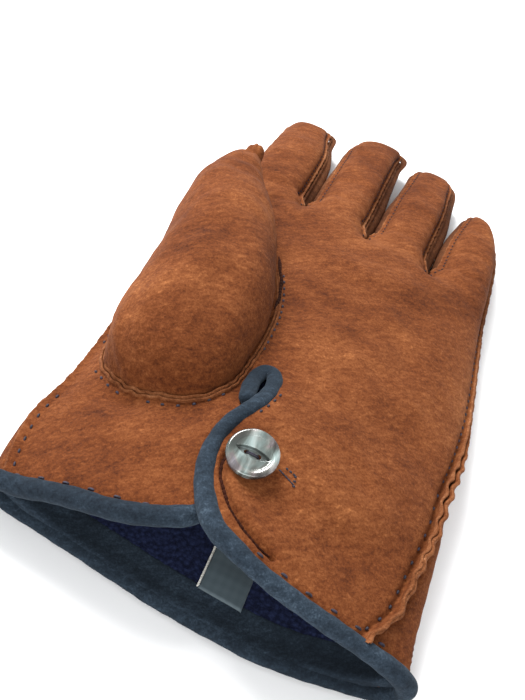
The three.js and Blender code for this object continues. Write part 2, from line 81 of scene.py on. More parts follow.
# %% Sections of the hand, the fingers and the thumb
ROW = ("y", "left", "right", "bottom", "belt", "top", "round", "lift")
HAND = [  # only the hand has a lift: how much higher the overlapping flap lies
    (-9, -57.8, 58.2, 0, 11, 28.2, 1.32, 2.2),
    (2, -60.0, 58.4, 0, 11, 29.4, 1.35, 2.5),
    (13, -62.2, 57.8, 0, 11, 30.4, 1.4, 2.7),
    (25, -63.0, 57.8, 0, 11, 31.4, 1.45, 2.8),
    (44, -59.6, 57.8, 0, 11, 32.2, 1.58, 2.4),
    (53, -58.8, 57.2, 0, 11, 32.2, 1.64, 1.4),
    (62, -58.6, 57.0, 0, 11, 32.0, 1.7, 0),
    (75, -58.8, 57.2, 0, 11, 31.4, 1.78, 0),
    (92, -58.6, 56.8, 0, 11, 30.8, 1.86, 0),
    (112, -56.8, 55.8, 0, 11, 30.0, 1.98, 0),
    (132, -55.4, 54.2, 0, 10.8, 28.8, 2.15, 0),
    (148, -54.0, 53.3, 0, 10.6, 27.4, 2.4, 0),
    (158, -53.4, 52.8, 0, 10.5, 26.2, 2.7, 0),
    (162.5, -53.1, 52.6, 0, 10.4, 25.0, 2.9, 0),
]
FINGERS = [
    [  # index
        (148, -53.2, -24.6, 0, 10.5, 23.2, 2.4),
        (168, -53.2, -24.8, 0, 10.5, 23.8, 2.6),
        (185, -53.4, -25.2, 0, 10, 22.6, 3.1),
        (215, -53.2, -26.2, 0, 9, 19.2, 3.3),
        (226, -52.6, -28.0, 0.6, 8.5, 17.6, 3.3),
        (234, -52.2, -30.0, 1.6, 8.2, 16.2, 3.1),
        (239.5, -51.0, -31.0, 3.0, 8, 14.6, 2.9),
        (243.4, -48.4, -31.8, 4.6, 8, 12.6, 2.6),
        (245.2, -45.0, -33.4, 6.0, 8, 10.6, 2.3),
        (245.7, -40.6, -36.8, 7.4, 8, 8.8, 2),
    ],
    [  # middle
        (146, -25.4, 1.4, 0, 10.5, 25.2, 2.4),
        (166, -24.4, 1.3, 0, 10.5, 25.0, 2.6),
        (182, -24.6, 1.6, 0, 10, 23.6, 3.1),
        (220, -24.5, 1.2, 0, 9, 19.0, 3.3),
        (231, -24.5, 0.9, 0.6, 8.5, 17.6, 3.3),
        (240, -23.6, 0.6, 1.6, 8.2, 16.2, 3.1),
        (246.2, -20.8, 0.6, 3.0, 8, 14.6, 2.9),
        (249.4, -16.8, 0.2, 4.6, 8, 12.6, 2.6),
        (250.8, -11.4, -1.4, 6.0, 8, 10.6, 2.3),
        (251.2, -6.4, -6.0, 7.4, 8, 8.8, 2),
    ],
    [  # ring
        (142, 1.2, 27.0, 0, 10.5, 24.8, 2.4),
        (160, 1.9, 27.0, 0, 10.5, 24.6, 2.6),
        (173, 2.4, 27.0, 0, 10, 23.8, 3.1),
        (207, 3.5, 28.0, 0, 9, 19.6, 3.3),
        (220, 4.5, 27.6, 0.6, 8.5, 17.8, 3.3),
        (230, 5.0, 27.4, 1.6, 8.2, 16.4, 3.1),
        (237.4, 6.0, 25.8, 3.0, 8, 14.6, 2.9),
        (241.6, 8.0, 22.6, 4.6, 8, 12.6, 2.6),
        (243.2, 11.8, 18.4, 6.0, 8, 10.6, 2.3),
        (243.7, 14.6, 15.2, 7.4, 8, 8.8, 2),
    ],
    [  # little
        (134, 27.4, 53.0, 0, 10.5, 22.2, 2.4),
        (155, 27.6, 52.8, 0, 10.5, 22.6, 2.6),
        (170, 28.0, 52.4, 0, 10, 21.8, 3.1),
        (187, 28.9, 51.6, 0, 9.5, 20.2, 3.3),
        (199, 30.2, 50.4, 0, 9, 18.6, 3.3),
        (208, 31.4, 48.4, 0.6, 8.5, 17.4, 3.1),
        (215.6, 33.2, 45.0, 2.2, 8, 15.6, 2.9),
        (220.6, 35.0, 41.6, 4.6, 8, 12.8, 2.6),
        (222.4, 36.8, 40.0, 6.0, 8, 10.6, 2.3),
        (222.9, 38.2, 38.6, 7.4, 8, 8.8, 2),
    ],
]
SKEW = [(132, 0), (148, -0.1), (158, -0.18), (162.5, -0.2), (170, -0.17), (192, 0)]
LITTLE_SIDE_SEAM = [
    (-12, 20.5), (4, 18.6), (12, 17), (30, 16.4), (50, 15.6),
    (75, 13.8), (96, 12), (165, 10.5), (225, 9), (250, 8),
]
THUMB_SIDE_SEAM = [(-12, 14.8), (30, 14), (60, 12.4), (165, 10.5), (225, 9), (250, 8)]
UPPER_SEAM = [(140, 19.4), (165, 18.8), (200, 15.6), (225, 12.4), (246, 9)]
LOWER_SEAM = [(140, 4.6), (225, 5.2), (246, 7.6)]
UNDER_ROUND, SETTLE = 2.5, 1.12  # the lower half: how square, and pressed how flat


def through(table, x):
    """A smooth curve through points, with no overshoot between them, held level past the ends."""
    xs, ys = np.array(table, float).T
    step = np.diff(xs)
    slope = np.diff(ys) / step
    same = slope[:-1] * slope[1:] > 0
    inner = np.where(same, 2 * slope[:-1] * slope[1:] / np.where(same, slope[:-1] + slope[1:], 1), 0)
    tangent = np.concatenate([slope[:1], inner, slope[-1:]])
    x = np.clip(x, xs[0], xs[-1])
    i = np.clip(np.searchsorted(xs, x, side="right") - 1, 0, len(xs) - 2)
    t = (x - xs[i]) / step[i]
    level = ys[i] * (1 + 2 * t) * (1 - t) ** 2 + ys[i + 1] * t * t * (3 - 2 * t)
    return level + step[i] * (tangent[i] * t * (1 - t) ** 2 - tangent[i + 1] * t * t * (1 - t))


def eased(low, high, x):
    """0 up to low, 1 from high, and smooth between."""
    t = np.clip((np.asarray(x, float) - low) / (high - low), 0, 1)
    return t * t * (3 - 2 * t)


def walked(line):
    """The length from the start of a line to each of its points."""
    return np.cumsum(np.linalg.norm(np.diff(line, axis=0, prepend=line[:1]), axis=-1))


def smooth_rows(rows, run, at):
    """Every measure of a table as a column of values, at places of the run that its rows lie on."""
    return {key: through(np.c_[run, column], at)[:, None] for key, column in zip(ROW, np.array(rows, float).T)}


def sections(rows, y):
    """Sections of a table at places along the glove."""
    y = np.asarray(y, float)
    return smooth_rows(rows, np.array(rows, float)[:, 0], y) | {"y": y[:, None]}


def pod_sections(rows, count, start=0.0):
    """Sections along a finger or the thumb, evenly shared out, so that they crowd together at the tip."""
    values = np.array(rows, float)
    run = walked(values[:, :3] * (1, 0.5, 0.5))
    first = np.interp(start, values[:, 0], run) if start else 0
    return smooth_rows(rows, run, np.linspace(first, run[-1], count))


def on_section(row, angle):
    """Points x, z of sections at angles: 0 is the right side, a quarter turn is the top."""
    over = np.sin(angle) >= 0
    power = 2 / np.where(over, row["round"], row.get("under", UNDER_ROUND))
    rise = np.abs(np.sin(angle)) ** power
    half = (row["right"] - row["left"]) / 2
    x = (row["left"] + row["right"]) / 2 + half * np.sign(np.cos(angle)) * np.abs(np.cos(angle)) ** power
    low = row["belt"] - (row["belt"] - row["bottom"]) * np.minimum(1, SETTLE * rise)
    return x, np.where(over, row["belt"] + (row["top"] - row["belt"]) * rise, low)


def seam_angle(row, z):
    """The angle on the right side of a section where it passes a height."""
    z = np.clip(z, row["bottom"] + 0.02, row["top"] - 0.02)
    up = np.clip((z - row["belt"]) / (row["top"] - row["belt"]), 0, 1) ** (row["round"] / 2)
    down = np.clip((row["belt"] - z) / (row["belt"] - row["bottom"]) / SETTLE, 0, 1) ** (UNDER_ROUND / 2)
    return np.where(z >= row["belt"], np.arcsin(up), -np.arcsin(down))


def along_section(row, start, end, shares):
    """Points of each section between two angles, at shares of the leather's length between them."""
    return shared_out(row, start + (end - start) * np.linspace(0, 1, 260), np.asarray(shares))


def shared_out(row, angle, shares):
    """Points at shares of the length that each section runs through these angles."""
    x, z = on_section(row, angle)
    steps = (np.diff(values, axis=1, prepend=values[:, :1]) for values in (x, z))
    length = np.cumsum(np.hypot(*steps), axis=1)
    out = np.empty((len(x), len(shares), 3))
    for i, run in enumerate(length):
        wanted = shares * run[-1]
        out[i, :, 0] = np.interp(wanted, run, x[i])
        out[i, :, 2] = np.interp(wanted, run, z[i])
    out[:, :, 1] = row["y"]
    return out


BUTTON = {"x": 1, "y": 25.5, "lift": 1.4, "tilt": 15}
check_row = sections(HAND, [BUTTON["y"]])
print("width of the hand at the button, mm:", np.round(check_row["right"] - check_row["left"], 1))

# %% [markdown]
# Soft leather is never quite smooth: it swells and sinks by half a millimetre over the hand, and it keeps
# creases where the fingers bend. The swell is a sum of a few sine waves in different directions, seeded so
# that it comes out the same each time. A crease is a line in plan with a width and a depth.

# %% Swell and creases of the palm
rng = np.random.default_rng(7)


def waves(length, count=9):
    """Directions and phases of sine waves of about one length, mm."""
    turn = rng.uniform(0, 2 * math.pi, count)
    size = 2 * math.pi / (length * rng.uniform(0.75, 1.35, count))
    return np.c_[np.cos(turn) * size, np.sin(turn) * size, rng.uniform(0, 2 * math.pi, count)]


def swell(x, y, made):
    """Height of the waves at a place, about -1 to 1."""
    return sum(np.sin(a * x + b * y + c) for a, b, c in made) / math.sqrt(len(made) * 2)


BROAD, MIDDLE, SMALL = waves(44), waves(19), waves(8)
CREASES = [  # width, depth and the line; a minus depth is a ridge
    (2.2, 0.9, [(-13.4, 56), (-11.6, 50.5), (-9.9, 47.2)]),
    (3.6, 1.5, [(-61, 50), (-54, 44.5), (-46, 39.5), (-38, 37)]),
    (5.5, 1.0, [(-48, 36), (-40, 37), (-30, 37.4), (-20, 38)]),
    (
        0.65, 2.4,
        [(-5.4, 25), (-5.3, 21.4), (-3.9, 17.4), (-1.6, 13.9), (1.5, 10.3), (6.7, 6.4), (12.2, 4.0), (16, 3.0)],
    ),
    (1.4, -0.7, [(-3.0, 22), (-1.0, 17.6), (2.6, 13.0), (7.6, 9.2), (12.8, 6.8)]),
    (6, 0.7, [(8, 20), (20, 17), (34, 18), (46, 24)]),
    (6, -0.7, [(14, 30), (26, 29), (38, 32)]),
    (4, 0.5, [(16, 44), (30, 40), (42, 42)]),
    (5, 0.6, [(6, 70), (18, 78), (30, 92)]),
    (5, -0.5, [(-2, 84), (10, 96), (20, 112)]),
    (7, 0.8, [(-14, 124), (4, 120), (22, 122), (38, 130)]),
    (6, -0.6, [(-10, 134), (8, 132), (26, 136)]),
    (3, 0.6, [(-48, 160), (-40, 158), (-32, 161), (-27, 166)]),
    (2.2, 0.45, [(-50, 172), (-42, 170), (-33, 173)]),
    (2.4, 0.4, [(-22, 180), (-12, 177), (-3, 180)]),
    (2.2, 0.35, [(-20, 193), (-10, 196), (0, 194)]),
    (2.2, 0.35, [(4, 172), (14, 170), (24, 174)]),
    (2.4, 0.4, [(6, 190), (16, 193), (26, 190)]),
    (2.2, 0.45, [(30, 166), (40, 162), (50, 164)]),
    (2.0, 0.35, [(31, 176), (40, 180), (49, 177)]),
]


def from_line(x, y, line):
    """Distance in plan to a line of points, mm."""
    best = np.full(np.shape(x), 1e9)
    for (ax, ay), (bx, by) in zip(line, line[1:]):
        t = np.clip(((x - ax) * (bx - ax) + (y - ay) * (by - ay)) / ((bx - ax) ** 2 + (by - ay) ** 2), 0, 1)
        best = np.minimum(best, np.hypot(x - ax - t * (bx - ax), y - ay - t * (by - ay)))
    return best


def furrow(x, y, width, depth, line):
    """How deep one crease is at a place, mm."""
    return depth * np.exp(-((from_line(x, y, line) / width) ** 2))


def relief(x, y):
    """How far the palm's leather swells or sinks, mm."""
    z = 0.5 * swell(x, y, BROAD) + 0.3 * swell(x, y, MIDDLE) + 0.1 * swell(x, y, SMALL)
    for crease in CREASES:
        z = z - furrow(x, y, *crease)
    return z


def crown(row, z):
    """1 on the flat of the palm and 0 down at the side seams, where the swell dies out."""
    return eased(0.25, 0.7, (z - row["belt"]) / (row["top"] - row["belt"]))


def palm_height(x, y, lifted=0.0):
    """Height of the palm's outer face at places in plan."""
    x, y = np.atleast_1d(np.asarray(x, float)), np.atleast_1d(np.asarray(y, float))
    row = {key: value[:, 0] for key, value in sections(HAND, y).items()}
    row["top"] = row["top"] + lifted * row["lift"]
    across = np.clip(np.abs((2 * x - row["left"] - row["right"]) / (row["right"] - row["left"])), 0, 1)
    z = row["belt"] + (row["top"] - row["belt"]) * (1 - across ** row["round"]) ** (1 / row["round"])
    return z + relief(x, y) * crown(row, z)


print("palm height under the button, mm:", np.round(palm_height(BUTTON["x"], BUTTON["y"], 1), 1))

# %% [markdown]
# A glove like this is sewn with its seams outside: the two raw edges stand out side by side, and the thread
# runs a little inboard of them. So each panel is drawn as a grid of points across and along, and every sewn
# side gets a few more columns: out along the edge, round its cut face, and back under it.

# %% Panels as grids
THICK = 1.1  # one layer of suede in a seam, mm
GAP = 0.15  # half of the dark line between the two layers
GRAIN_SIDE, RAW = 0, 1  # material slots of a panel: its napped face, and the cut edge
UP = np.array([0, 0, 1.0])
LIP = [  # a sewn edge in section: its reach out, its depth, and its share of the ripple
    (0.3, 0, 0.12), (0.62, 0, 0.5), (0.86, 0.04, 1), (0.97, 0.28, 1),
    (1, 0.55, 1), (0.93, 0.84, 1), (0.76, 1, 1), (0.3, 1, 0.2),
]


def unit(v):
    return v / np.maximum(np.linalg.norm(v, axis=-1, keepdims=True), 1e-9)


def outward(root, side):
    """Level directions away from a line's left (-1) or right (1) side."""
    along = unit(np.gradient(root, axis=0) * (1, 1, 0) + (0, 1e-6, 0))
    return np.c_[along[:, 1], -along[:, 0], np.zeros(len(root))] * side


def edge_frame(root, side, turn, facing):
    """Out along a sewn edge and away from its seam's plane: root is (n, 3) along the seam, side is -1 for
    the left and 1 for the right, turn is the edge's angle above level, facing is 1 for a face up."""
    plan = outward(root, side)
    turn = np.broadcast_to(turn, len(root))[:, None]
    out = plan * np.cos(turn) + UP * np.sin(turn)
    return out, (UP * np.cos(turn) - plan * np.sin(turn)) * facing


def edge_columns(root, side, turn, width, facing, wave, thick=THICK):
    """Points of a sewn edge: out from the root, round the cut face, and back under it."""
    out, up = edge_frame(root, side, turn, facing)
    run = walked(root)
    width = np.broadcast_to(width, len(root))
    ragged = 0.07 * np.sin(run / 0.37 + 2 * side) + 0.1 * np.sin(run / 1.1 + facing)
    flat = (width + ragged * np.clip(width, 0, 1))[:, None] * out
    sway = np.broadcast_to(wave, len(root))[:, None] * up * facing
    deep = np.broadcast_to(0.88 * thick, len(root))[:, None] * up
    return np.stack([root + reach * flat - down * deep + share * sway for reach, down, share in LIP], axis=1)


def parted(half, body, left, right):
    """Both layers of a seam lie off its plane by their own thickness, so the skin rises toward its edges.
    Beside an edge that stands steep, the thread pulls the skin into a valley. Each edge is (turn, width,
    wave, thick)."""
    body = body.copy()
    for column, side, (turn, width, wave, thick) in ((0, -1, left), (-1, 1, right)):
        up = edge_frame(body[:, column], side, turn, half.facing)[1]
        apart = np.linalg.norm(body - body[:, column][:, None], axis=2)
        full = np.clip(np.broadcast_to(width, len(body)), 0, 1)[:, None]
        off = np.broadcast_to(thick + GAP, len(body))[:, None]
        steep = np.clip(np.sin(np.broadcast_to(turn, len(body))), 0, 1)[:, None] ** 2
        valley = 1.1 * steep * full * np.exp(-(((apart - 1.8) / 1.2) ** 2))
        body -= half.facing * valley[:, :, None] * grid_normals(body)
        body += (off * full * np.exp(-((apart / 1.3) ** 2)))[:, :, None] * up[:, None]
    return body


def with_edges(half, body, left, right):
    """A body grid with its sewn edges on both sides, eased where it turns out into them."""
    left, right = (
        edge_columns(body[:, column], side, turn, width, half.facing, wave, thick)
        for column, side, (turn, width, wave, thick) in ((0, -1, left), (-1, 1, right))
    )
    grid = np.concatenate([left[:, ::-1], body, right], axis=1)
    for lo in (len(LIP) - 1, len(LIP) + body.shape[1] - 3):
        hi = lo + 4
        for _ in range(2):
            grid[:, lo:hi] = 0.5 * grid[:, lo:hi] + 0.25 * (grid[:, lo - 1 : hi - 1] + grid[:, lo + 1 : hi + 1])
    return grid


def edge_marks(grid):
    """Which strips of faces across a panel with edges are raw cut leather."""
    marks = np.full(grid.shape[1] - 1, GRAIN_SIDE)
    marks[2:6] = marks[-6:-2] = RAW  # between the outer points of an edge
    return marks


class Piece:
    """Grids of points that are gathered, welded and made into one mesh."""

    def __init__(self, name, *nodes):
        self.name, self.nodes = name, nodes
        self.points, self.faces, self.marks, self.count = [], [], [], 0

    def grid(self, points, marks=0, keep=None, flip=False, closed=False):
        """Add a grid of points (rows, columns, 3). keep chooses faces of an open grid by the middle of each."""
        rows, columns = points.shape[:2]
        index = np.arange(rows * columns).reshape(rows, columns) + self.count
        if closed:
            index = np.c_[index, index[:, :1]]
        corners = np.stack([index[:-1, :-1], index[:-1, 1:], index[1:, 1:], index[1:, :-1]], axis=-1)
        if flip:
            corners = corners[..., ::-1]
        marks = np.broadcast_to(marks, corners.shape[:2])
        chosen = np.ones(corners.shape[:2], bool)
        if keep is not None:
            chosen = keep((points[:-1, :-1] + points[:-1, 1:] + points[1:, 1:] + points[1:, :-1]) / 4)
        self.points.append(points.reshape(-1, 3))
        self.faces.append(corners[chosen])
        self.marks.append(marks[chosen])
        self.count += rows * columns
        return self

    def make(self, materials, slot, weld=0.02):
        """Make the mesh object, in the frame, riding on the glove and standing for its nodes."""
        mesh = bpy.data.meshes.new(self.name)
        faces = np.concatenate(self.faces)
        mesh.from_pydata(to_frame(np.concatenate(self.points)).tolist(), [], faces.tolist())
        mesh.polygons.foreach_set("material_index", np.concatenate(self.marks).astype(np.int32))
        work = bmesh.new()
        work.from_mesh(mesh)
        bmesh.ops.remove_doubles(work, verts=work.verts, dist=weld * MM)
        bmesh.ops.delete(work, geom=[v for v in work.verts if not v.link_faces], context="VERTS")
        work.to_mesh(mesh)
        work.free()
        mesh.polygons.foreach_set("use_smooth", [True] * len(mesh.polygons))
        for material in materials:
            mesh.materials.append(material)
        piece = bpy.data.objects.new(self.name, mesh)
        bpy.context.collection.objects.link(piece)
        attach(piece, "root")
        if self.nodes:
            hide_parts(*self.nodes)
        print(f"{self.name}: {len(mesh.polygons)} faces")


# %% [markdown]
# The palm is one piece of leather with three slits. Up to the crotches between the fingers its grid runs
# right across the hand. Beyond them the same columns go on in four strips, one for each finger, and every
# strip closes in a round tip. The back is cut in the same way, so both meet along the same seams.

# %% Rows and columns of the panels
CROTCH_ROW = 162.5
CROTCHES = [-25.0, 1.0, 27.0]  # where the slits start, across
HAND_ROWS = np.concatenate([np.arange(-9, 62.4, 0.6), [62.6], np.linspace(63.4, CROTCH_ROW, 116)])
FINGER_ROWS = 104
COLUMNS = 36  # across each finger
INNER_EDGE, OUTER_EDGE = 1.15, 1.7  # how far the sewn edges stand out, between the fingers and at the sides
INNER_ROOM = 2.7  # from the seam between two fingers to the fullest place of the strip


def spread(count):
    """Shares from 0 to 1 that crowd a little toward both ends."""
    t = np.linspace(0, 1, count)
    return 0.55 * t + 0.45 * (0.5 - 0.5 * np.cos(math.pi * t))


def outer_room(y):
    """How far the hand's side lies inside the glove's outline, where its sewn edge makes that outline."""
    return 0.1 + 1.1 * eased(60, 125, y)


class Half:
    """The palm (over) or the back (under) as an outer skin."""

    def __init__(self, over):
        self.over = over
        self.facing = 1 if over else -1
        self.between = UPPER_SEAM if over else LOWER_SEAM

    def height(self, table, row):
        """Where a seam lies on this half."""
        z = through(table, row["y"][:, 0])[:, None]
        low = 0.55 * row["belt"] + 0.45 * row["bottom"]
        high = 0.55 * row["belt"] + 0.45 * row["top"]
        return np.clip(z, low, high) if table in (UPPER_SEAM, LOWER_SEAM) else np.maximum(z, row["bottom"] + 0.1)

    def skin(self, row, left_seam, right_seam, shares):
        a_left, a_right = (seam_angle(row, self.height(t, row)) for t in (left_seam, right_seam))
        start = math.pi - a_left
        end = a_right if self.over else 2 * math.pi + a_right
        return along_section(row, start, end, shares)

    def shares_at_crotches(self):
        """Where the slits start, as shares of the leather's length across the hand."""
        room = outer_room(CROTCH_ROW)
        row = slimmed(sections(HAND, [CROTCH_ROW]), room, room)
        shares = np.linspace(0, 1, 2000)
        x = self.skin(row, THUMB_SIDE_SEAM, LITTLE_SIDE_SEAM, shares)[0, :, 0]
        middle = slice(200, -200)  # leaves out the sides, where x turns back
        return [0.0, *np.interp(CROTCHES, x[middle], shares[middle]), 1.0]


def slimmed(row, left, right):
    """Sections with their sides moved in, to leave room for the sewn edges."""
    return row | {"left": row["left"] + left, "right": row["right"] - right}


def skewed(points, nominal):
    """Turn the line of each section in plan, as the crotches step down toward the little finger."""
    points = points.copy()
    points[:, :, 1] += through(SKEW, nominal)[:, None] * points[:, :, 0]
    return points


def finger_skin(half, number, y=None):
    """The skin of one finger's half, the nominal place of each of its rows, and its sections: at places y,
    or on from the crotch to the tip."""
    rows = FINGERS[number]
    row = pod_sections(rows, FINGER_ROWS, CROTCH_ROW) if y is None else sections(rows, y)
    nominal = row["y"][:, 0].copy()
    tip = rows[-1][0]
    closing = eased(tip - 14, tip, nominal)
    inner = INNER_ROOM * eased(CROTCH_ROW, CROTCH_ROW + 9, nominal)
    room = (row["right"] - row["left"])[:, 0]
    outer = outer_room(nominal) * (1 - 0.7 * closing)
    left, right = (
        np.minimum(outer if number == outermost else inner * (1 - 0.5 * closing), 0.3 * room)[:, None]
        for outermost in (0, 3)
    )
    row = slimmed(row, left, right)
    row["y"] = row["y"] - (0.4 * closing)[:, None]
    left_seam = THUMB_SIDE_SEAM if number == 0 else half.between
    right_seam = LITTLE_SIDE_SEAM if number == 3 else half.between
    skin = half.skin(row, left_seam, right_seam, spread(COLUMNS + 1))
    return skewed(skin, nominal), nominal, row


def hand_skin(half, lifted=0.0):
    """The skin of the hand's half up to the crotches, already drawn toward the fingers' own sections."""
    row, room = sections(HAND, HAND_ROWS), outer_room(HAND_ROWS)[:, None]
    row["top"] = row["top"] + lifted * row["lift"]
    row = slimmed(row, room, room)
    bounds = half.shares_at_crotches()
    shares = np.concatenate([
        a + (b - a) * spread(COLUMNS + 1)[: None if b == 1 else -1] for a, b in zip(bounds, bounds[1:])
    ])
    skin = skewed(half.skin(row, THUMB_SIDE_SEAM, LITTLE_SIDE_SEAM, shares), HAND_ROWS)
    late = HAND_ROWS > 149
    toward, total = np.zeros_like(skin[late]), np.zeros((1, skin.shape[1], 1))
    for number in range(4):
        columns = slice(number * COLUMNS, (number + 1) * COLUMNS + 1)
        toward[:, columns] += finger_skin(half, number, HAND_ROWS[late])[0]
        total[:, columns] += 1
    toward /= total
    pull = eased(150, 171, HAND_ROWS[late])[:, None, None]
    skin[late] += (toward - skin[late]) * pull
    return skin, row


def with_relief(skin, row):
    """The palm's skin with its swell and creases."""
    x, y, z = np.moveaxis(skin, 2, 0)
    return np.stack([x, y, z + relief(x, y) * crown(row, z)], axis=2)


print("columns across the hand:", 4 * COLUMNS + 1, "rows:", len(HAND_ROWS), "+", FINGER_ROWS)

# %% [markdown]
# Suede is leather with its flesh side brushed up, so the eye sees no gloss at all: a matte, mottled brown
# with soft light and dark patches where the nap lies one way or the other, and a pale fuzz at grazing
# light. Raw cut edges are paler than the face. Sizes are true where they can be: the mottling is 9 to 34 mm
# across and drawn out along the brushing, and the nap is 0.25 mm long, drawn as 0.75 mm grain so that it
# shows at this scale.

# %% Colours and nodes
def linear(code):
    """An sRGB hex colour as linear RGBA."""
    parts = [int(code[i : i + 2], 16) / 255 for i in (1, 3, 5)]
    return [c / 12.92 if c <= 0.04045 else ((c + 0.055) / 1.055) ** 2.4 for c in parts] + [1.0]


def per_metre(size_mm):
    """A pattern's scale for a repeat of so many millimetres."""
    return 1 / (size_mm * MM)


def new_material(name, sockets):
    """A material whose shader has these values, and the place of each point on the piece, for its patterns."""
    material = bpy.data.materials.new(name)
    material.use_nodes = True
    tree = material.node_tree
    shader = tree.nodes["Principled BSDF"]
    for key, value in sockets.items():
        shader.inputs[key].default_value = value
    return material, tree, shader, node(tree, "ShaderNodeTexCoord").outputs["Object"]


def surfaced(tree, shader, colour, height, strength, rise_mm, **settings):
    """Lead a colour and a pattern of heights into the shader."""
    tree.links.new(colour, shader.inputs["Base Color"])
    bump = node(tree, "ShaderNodeBump", settings, {"Height": height}, Strength=strength, Distance=rise_mm * MM)
    tree.links.new(bump.outputs["Normal"], shader.inputs["Normal"])


def node(tree, kind, settings=None, links=None, **values):
    """Add a node: its properties, then its input values (_1 is the input in place 1), then its links."""
    made = tree.nodes.new(kind)
    for key, value in (settings or {}).items():
        setattr(made, key, value)
    for key, value in values.items():
        made.inputs[int(key[1:]) if key[0] == "_" else key].default_value = value
    for key, source in (links or {}).items():
        tree.links.new(source, made.inputs[key])
    return made


def colour_steps(tree, factor, steps):
    """A colour ramp from (place, hex colour) pairs."""
    ramp = node(tree, "ShaderNodeValToRGB", links={"Fac": factor})
    elements = ramp.color_ramp.elements
    for element, (place, code) in ((elements[0], steps[0]), (elements[-1], steps[-1])):
        element.position, element.color = place, linear(code)
    for place, code in steps[1:-1]:
        elements.new(place).color = linear(code)
    return ramp.outputs["Color"]


def blended(tree, parts):
    """Patterns added up by their shares of the whole."""
    whole, total = sum(share for _, share in parts), None
    for pattern, share in parts:
        links = {0: pattern} if total is None else {0: pattern, 2: total}
        step = node(tree, "ShaderNodeMath", {"operation": "MULTIPLY_ADD"}, links, _1=share / whole)
        if total is None:
            step.inputs[2].default_value = 0
        total = step.outputs[0]
    return total


def suede(name, dark, mid, light, bright, nap_mm=0.75, fuzz=0.08, fuzz_tint="#A8683A", depth_mm=0.3, streak=0.5):
    """Brushed leather: mottled, matte, with a fine nap and a pale fuzz."""
    material, tree, shader, place = new_material(name, {
        "Roughness": 0.95, "IOR": 1.45, "Specular IOR Level": 0.18,
        "Sheen Weight": fuzz, "Sheen Roughness": 0.55, "Sheen Tint": linear(fuzz_tint),
    })
    brushed = node(
        tree, "ShaderNodeMapping", {"vector_type": "TEXTURE"}, {"Vector": place},
        Rotation=(0, 0, math.radians(36)), Scale=(2.2, 1, 1),
    ).outputs["Vector"]
    broad, patch, fleck, nap = (
        node(
            tree, "ShaderNodeTexNoise", links={"Vector": at},
            Scale=per_metre(size_mm), Detail=detail, Roughness=rough, Distortion=twist,
        ).outputs["Fac"]
        for size_mm, detail, rough, twist, at in (
            (34, 3, 0.55, 0.4, place), (9, 4, 0.6, 0.6, brushed),
            (1.5, 3, 0.65, 0.3, brushed), (nap_mm, 4, 0.75, 0.5, place),
        )
    )
    shade = blended(tree, [(broad, 0.3), (patch, 0.36 * streak), (fleck, 0.26), (nap, 0.36)])
    colour = colour_steps(tree, shade, [(0.4, dark), (0.49, mid), (0.57, light), (0.66, bright)])
    height = blended(tree, [(nap, 0.35), (fleck, 0.35), (patch, 0.3)])
    surfaced(tree, shader, colour, height, 0.9, 2.2 * depth_mm)
    return material


rust_suede = suede("rust suede", "#3E1B09", "#5E3014", "#744222", "#9C6238")
raw_edge = suede("raw edge of suede", "#47240F", "#693C20", "#825334", "#AA7B57", nap_mm=0.6, streak=0.3)
# the same rust suede drawn darker: painted shade, for the strips between the fingers and the holes of the button
suede_with_painted_shade = suede("rust suede with painted shade", "#36190B", "#4E2B17", "#643C23", "#835436")
slate_suede = suede(
    "slate suede", "#111820", "#1C252E", "#2A3540", "#46535F",
    nap_mm=0.6, fuzz=0.1, fuzz_tint="#8B9AA8", depth_mm=0.13, streak=0.35,
)
# very dark suede that stands for the shade in the floor of a tight fold: painted shade
fold_shade_suede = suede("dark suede as painted shade in a fold", "#1A0803", "#260E06", "#34150A", "#4A2413")
print("materials so far:", len(bpy.data.materials))

# %% [markdown]
# The thread is a waxed cotton or silk in dark navy. Each stitch is a short rounded bar, half sunk in a
# dimple that its own pull makes in the leather.

# %% Thread and stitches
def thread(name, colour, light):
    """Twisted thread: a matte cord with a little light on its strands."""
    material, tree, shader, place = new_material(name, {"Roughness": 0.72, "IOR": 1.5})
    strand = node(tree, "ShaderNodeTexNoise", links={"Vector": place}, Scale=per_metre(0.8), Detail=3).outputs["Fac"]
    surfaced(tree, shader, colour_steps(tree, strand, [(0.35, colour), (0.65, light)]), strand, 0.6, 0.1)
    return material


navy_thread = thread("navy thread", "#14111A", "#2D283A")


def bars(piece, places, along, length, radius, sink=0.25, out=UP):
    """Rounded bars on a surface: places (n, 3) mm, along and out as directions."""
    along = unit(along)
    across = unit(np.cross(along, unit(out)))
    out = np.cross(across, along)
    t = np.linspace(-1, 1, 7)
    reach = np.sign(t) * np.abs(t) ** 0.7
    swelling = np.sqrt(np.clip(1 - np.abs(t) ** 2.6, 0.0, 1)) * 0.98 + 0.02
    angle = np.linspace(0, 2 * math.pi, 8, endpoint=False)
    length = np.broadcast_to(length, len(places))
    radius = np.broadcast_to(radius, len(places))
    for p, a, c, o, size, r in zip(places, along, across, out, length, radius):
        centre = p + o * r * (1 - 2 * sink)
        ring = np.cos(angle)[:, None] * c + np.sin(angle)[:, None] * o
        drop = -(t**2)[:, None, None] * o * r * 0.9
        points = centre + (reach * size / 2)[:, None, None] * a + (swelling * r)[:, None, None] * ring + drop
        piece.grid(points, closed=True)


def at_length(line, run, at):
    """Points of a line at lengths along it."""
    return np.stack([np.interp(at, run, column) for column in line.T], axis=-1)


def stepped(line, step, start=0.0, stop=None):
    """Places at even steps along a line of points, and the direction there."""
    run = walked(line)
    at = np.arange(start, stop if stop is not None else run[-1], step)
    return at_length(line, run, at), unit(at_length(line, run, at + 0.4) - at_length(line, run, at - 0.4))


def grid_normals(points):
    """The direction square to a grid at each of its points."""
    return unit(np.cross(np.gradient(points, axis=1), np.gradient(points, axis=0)))


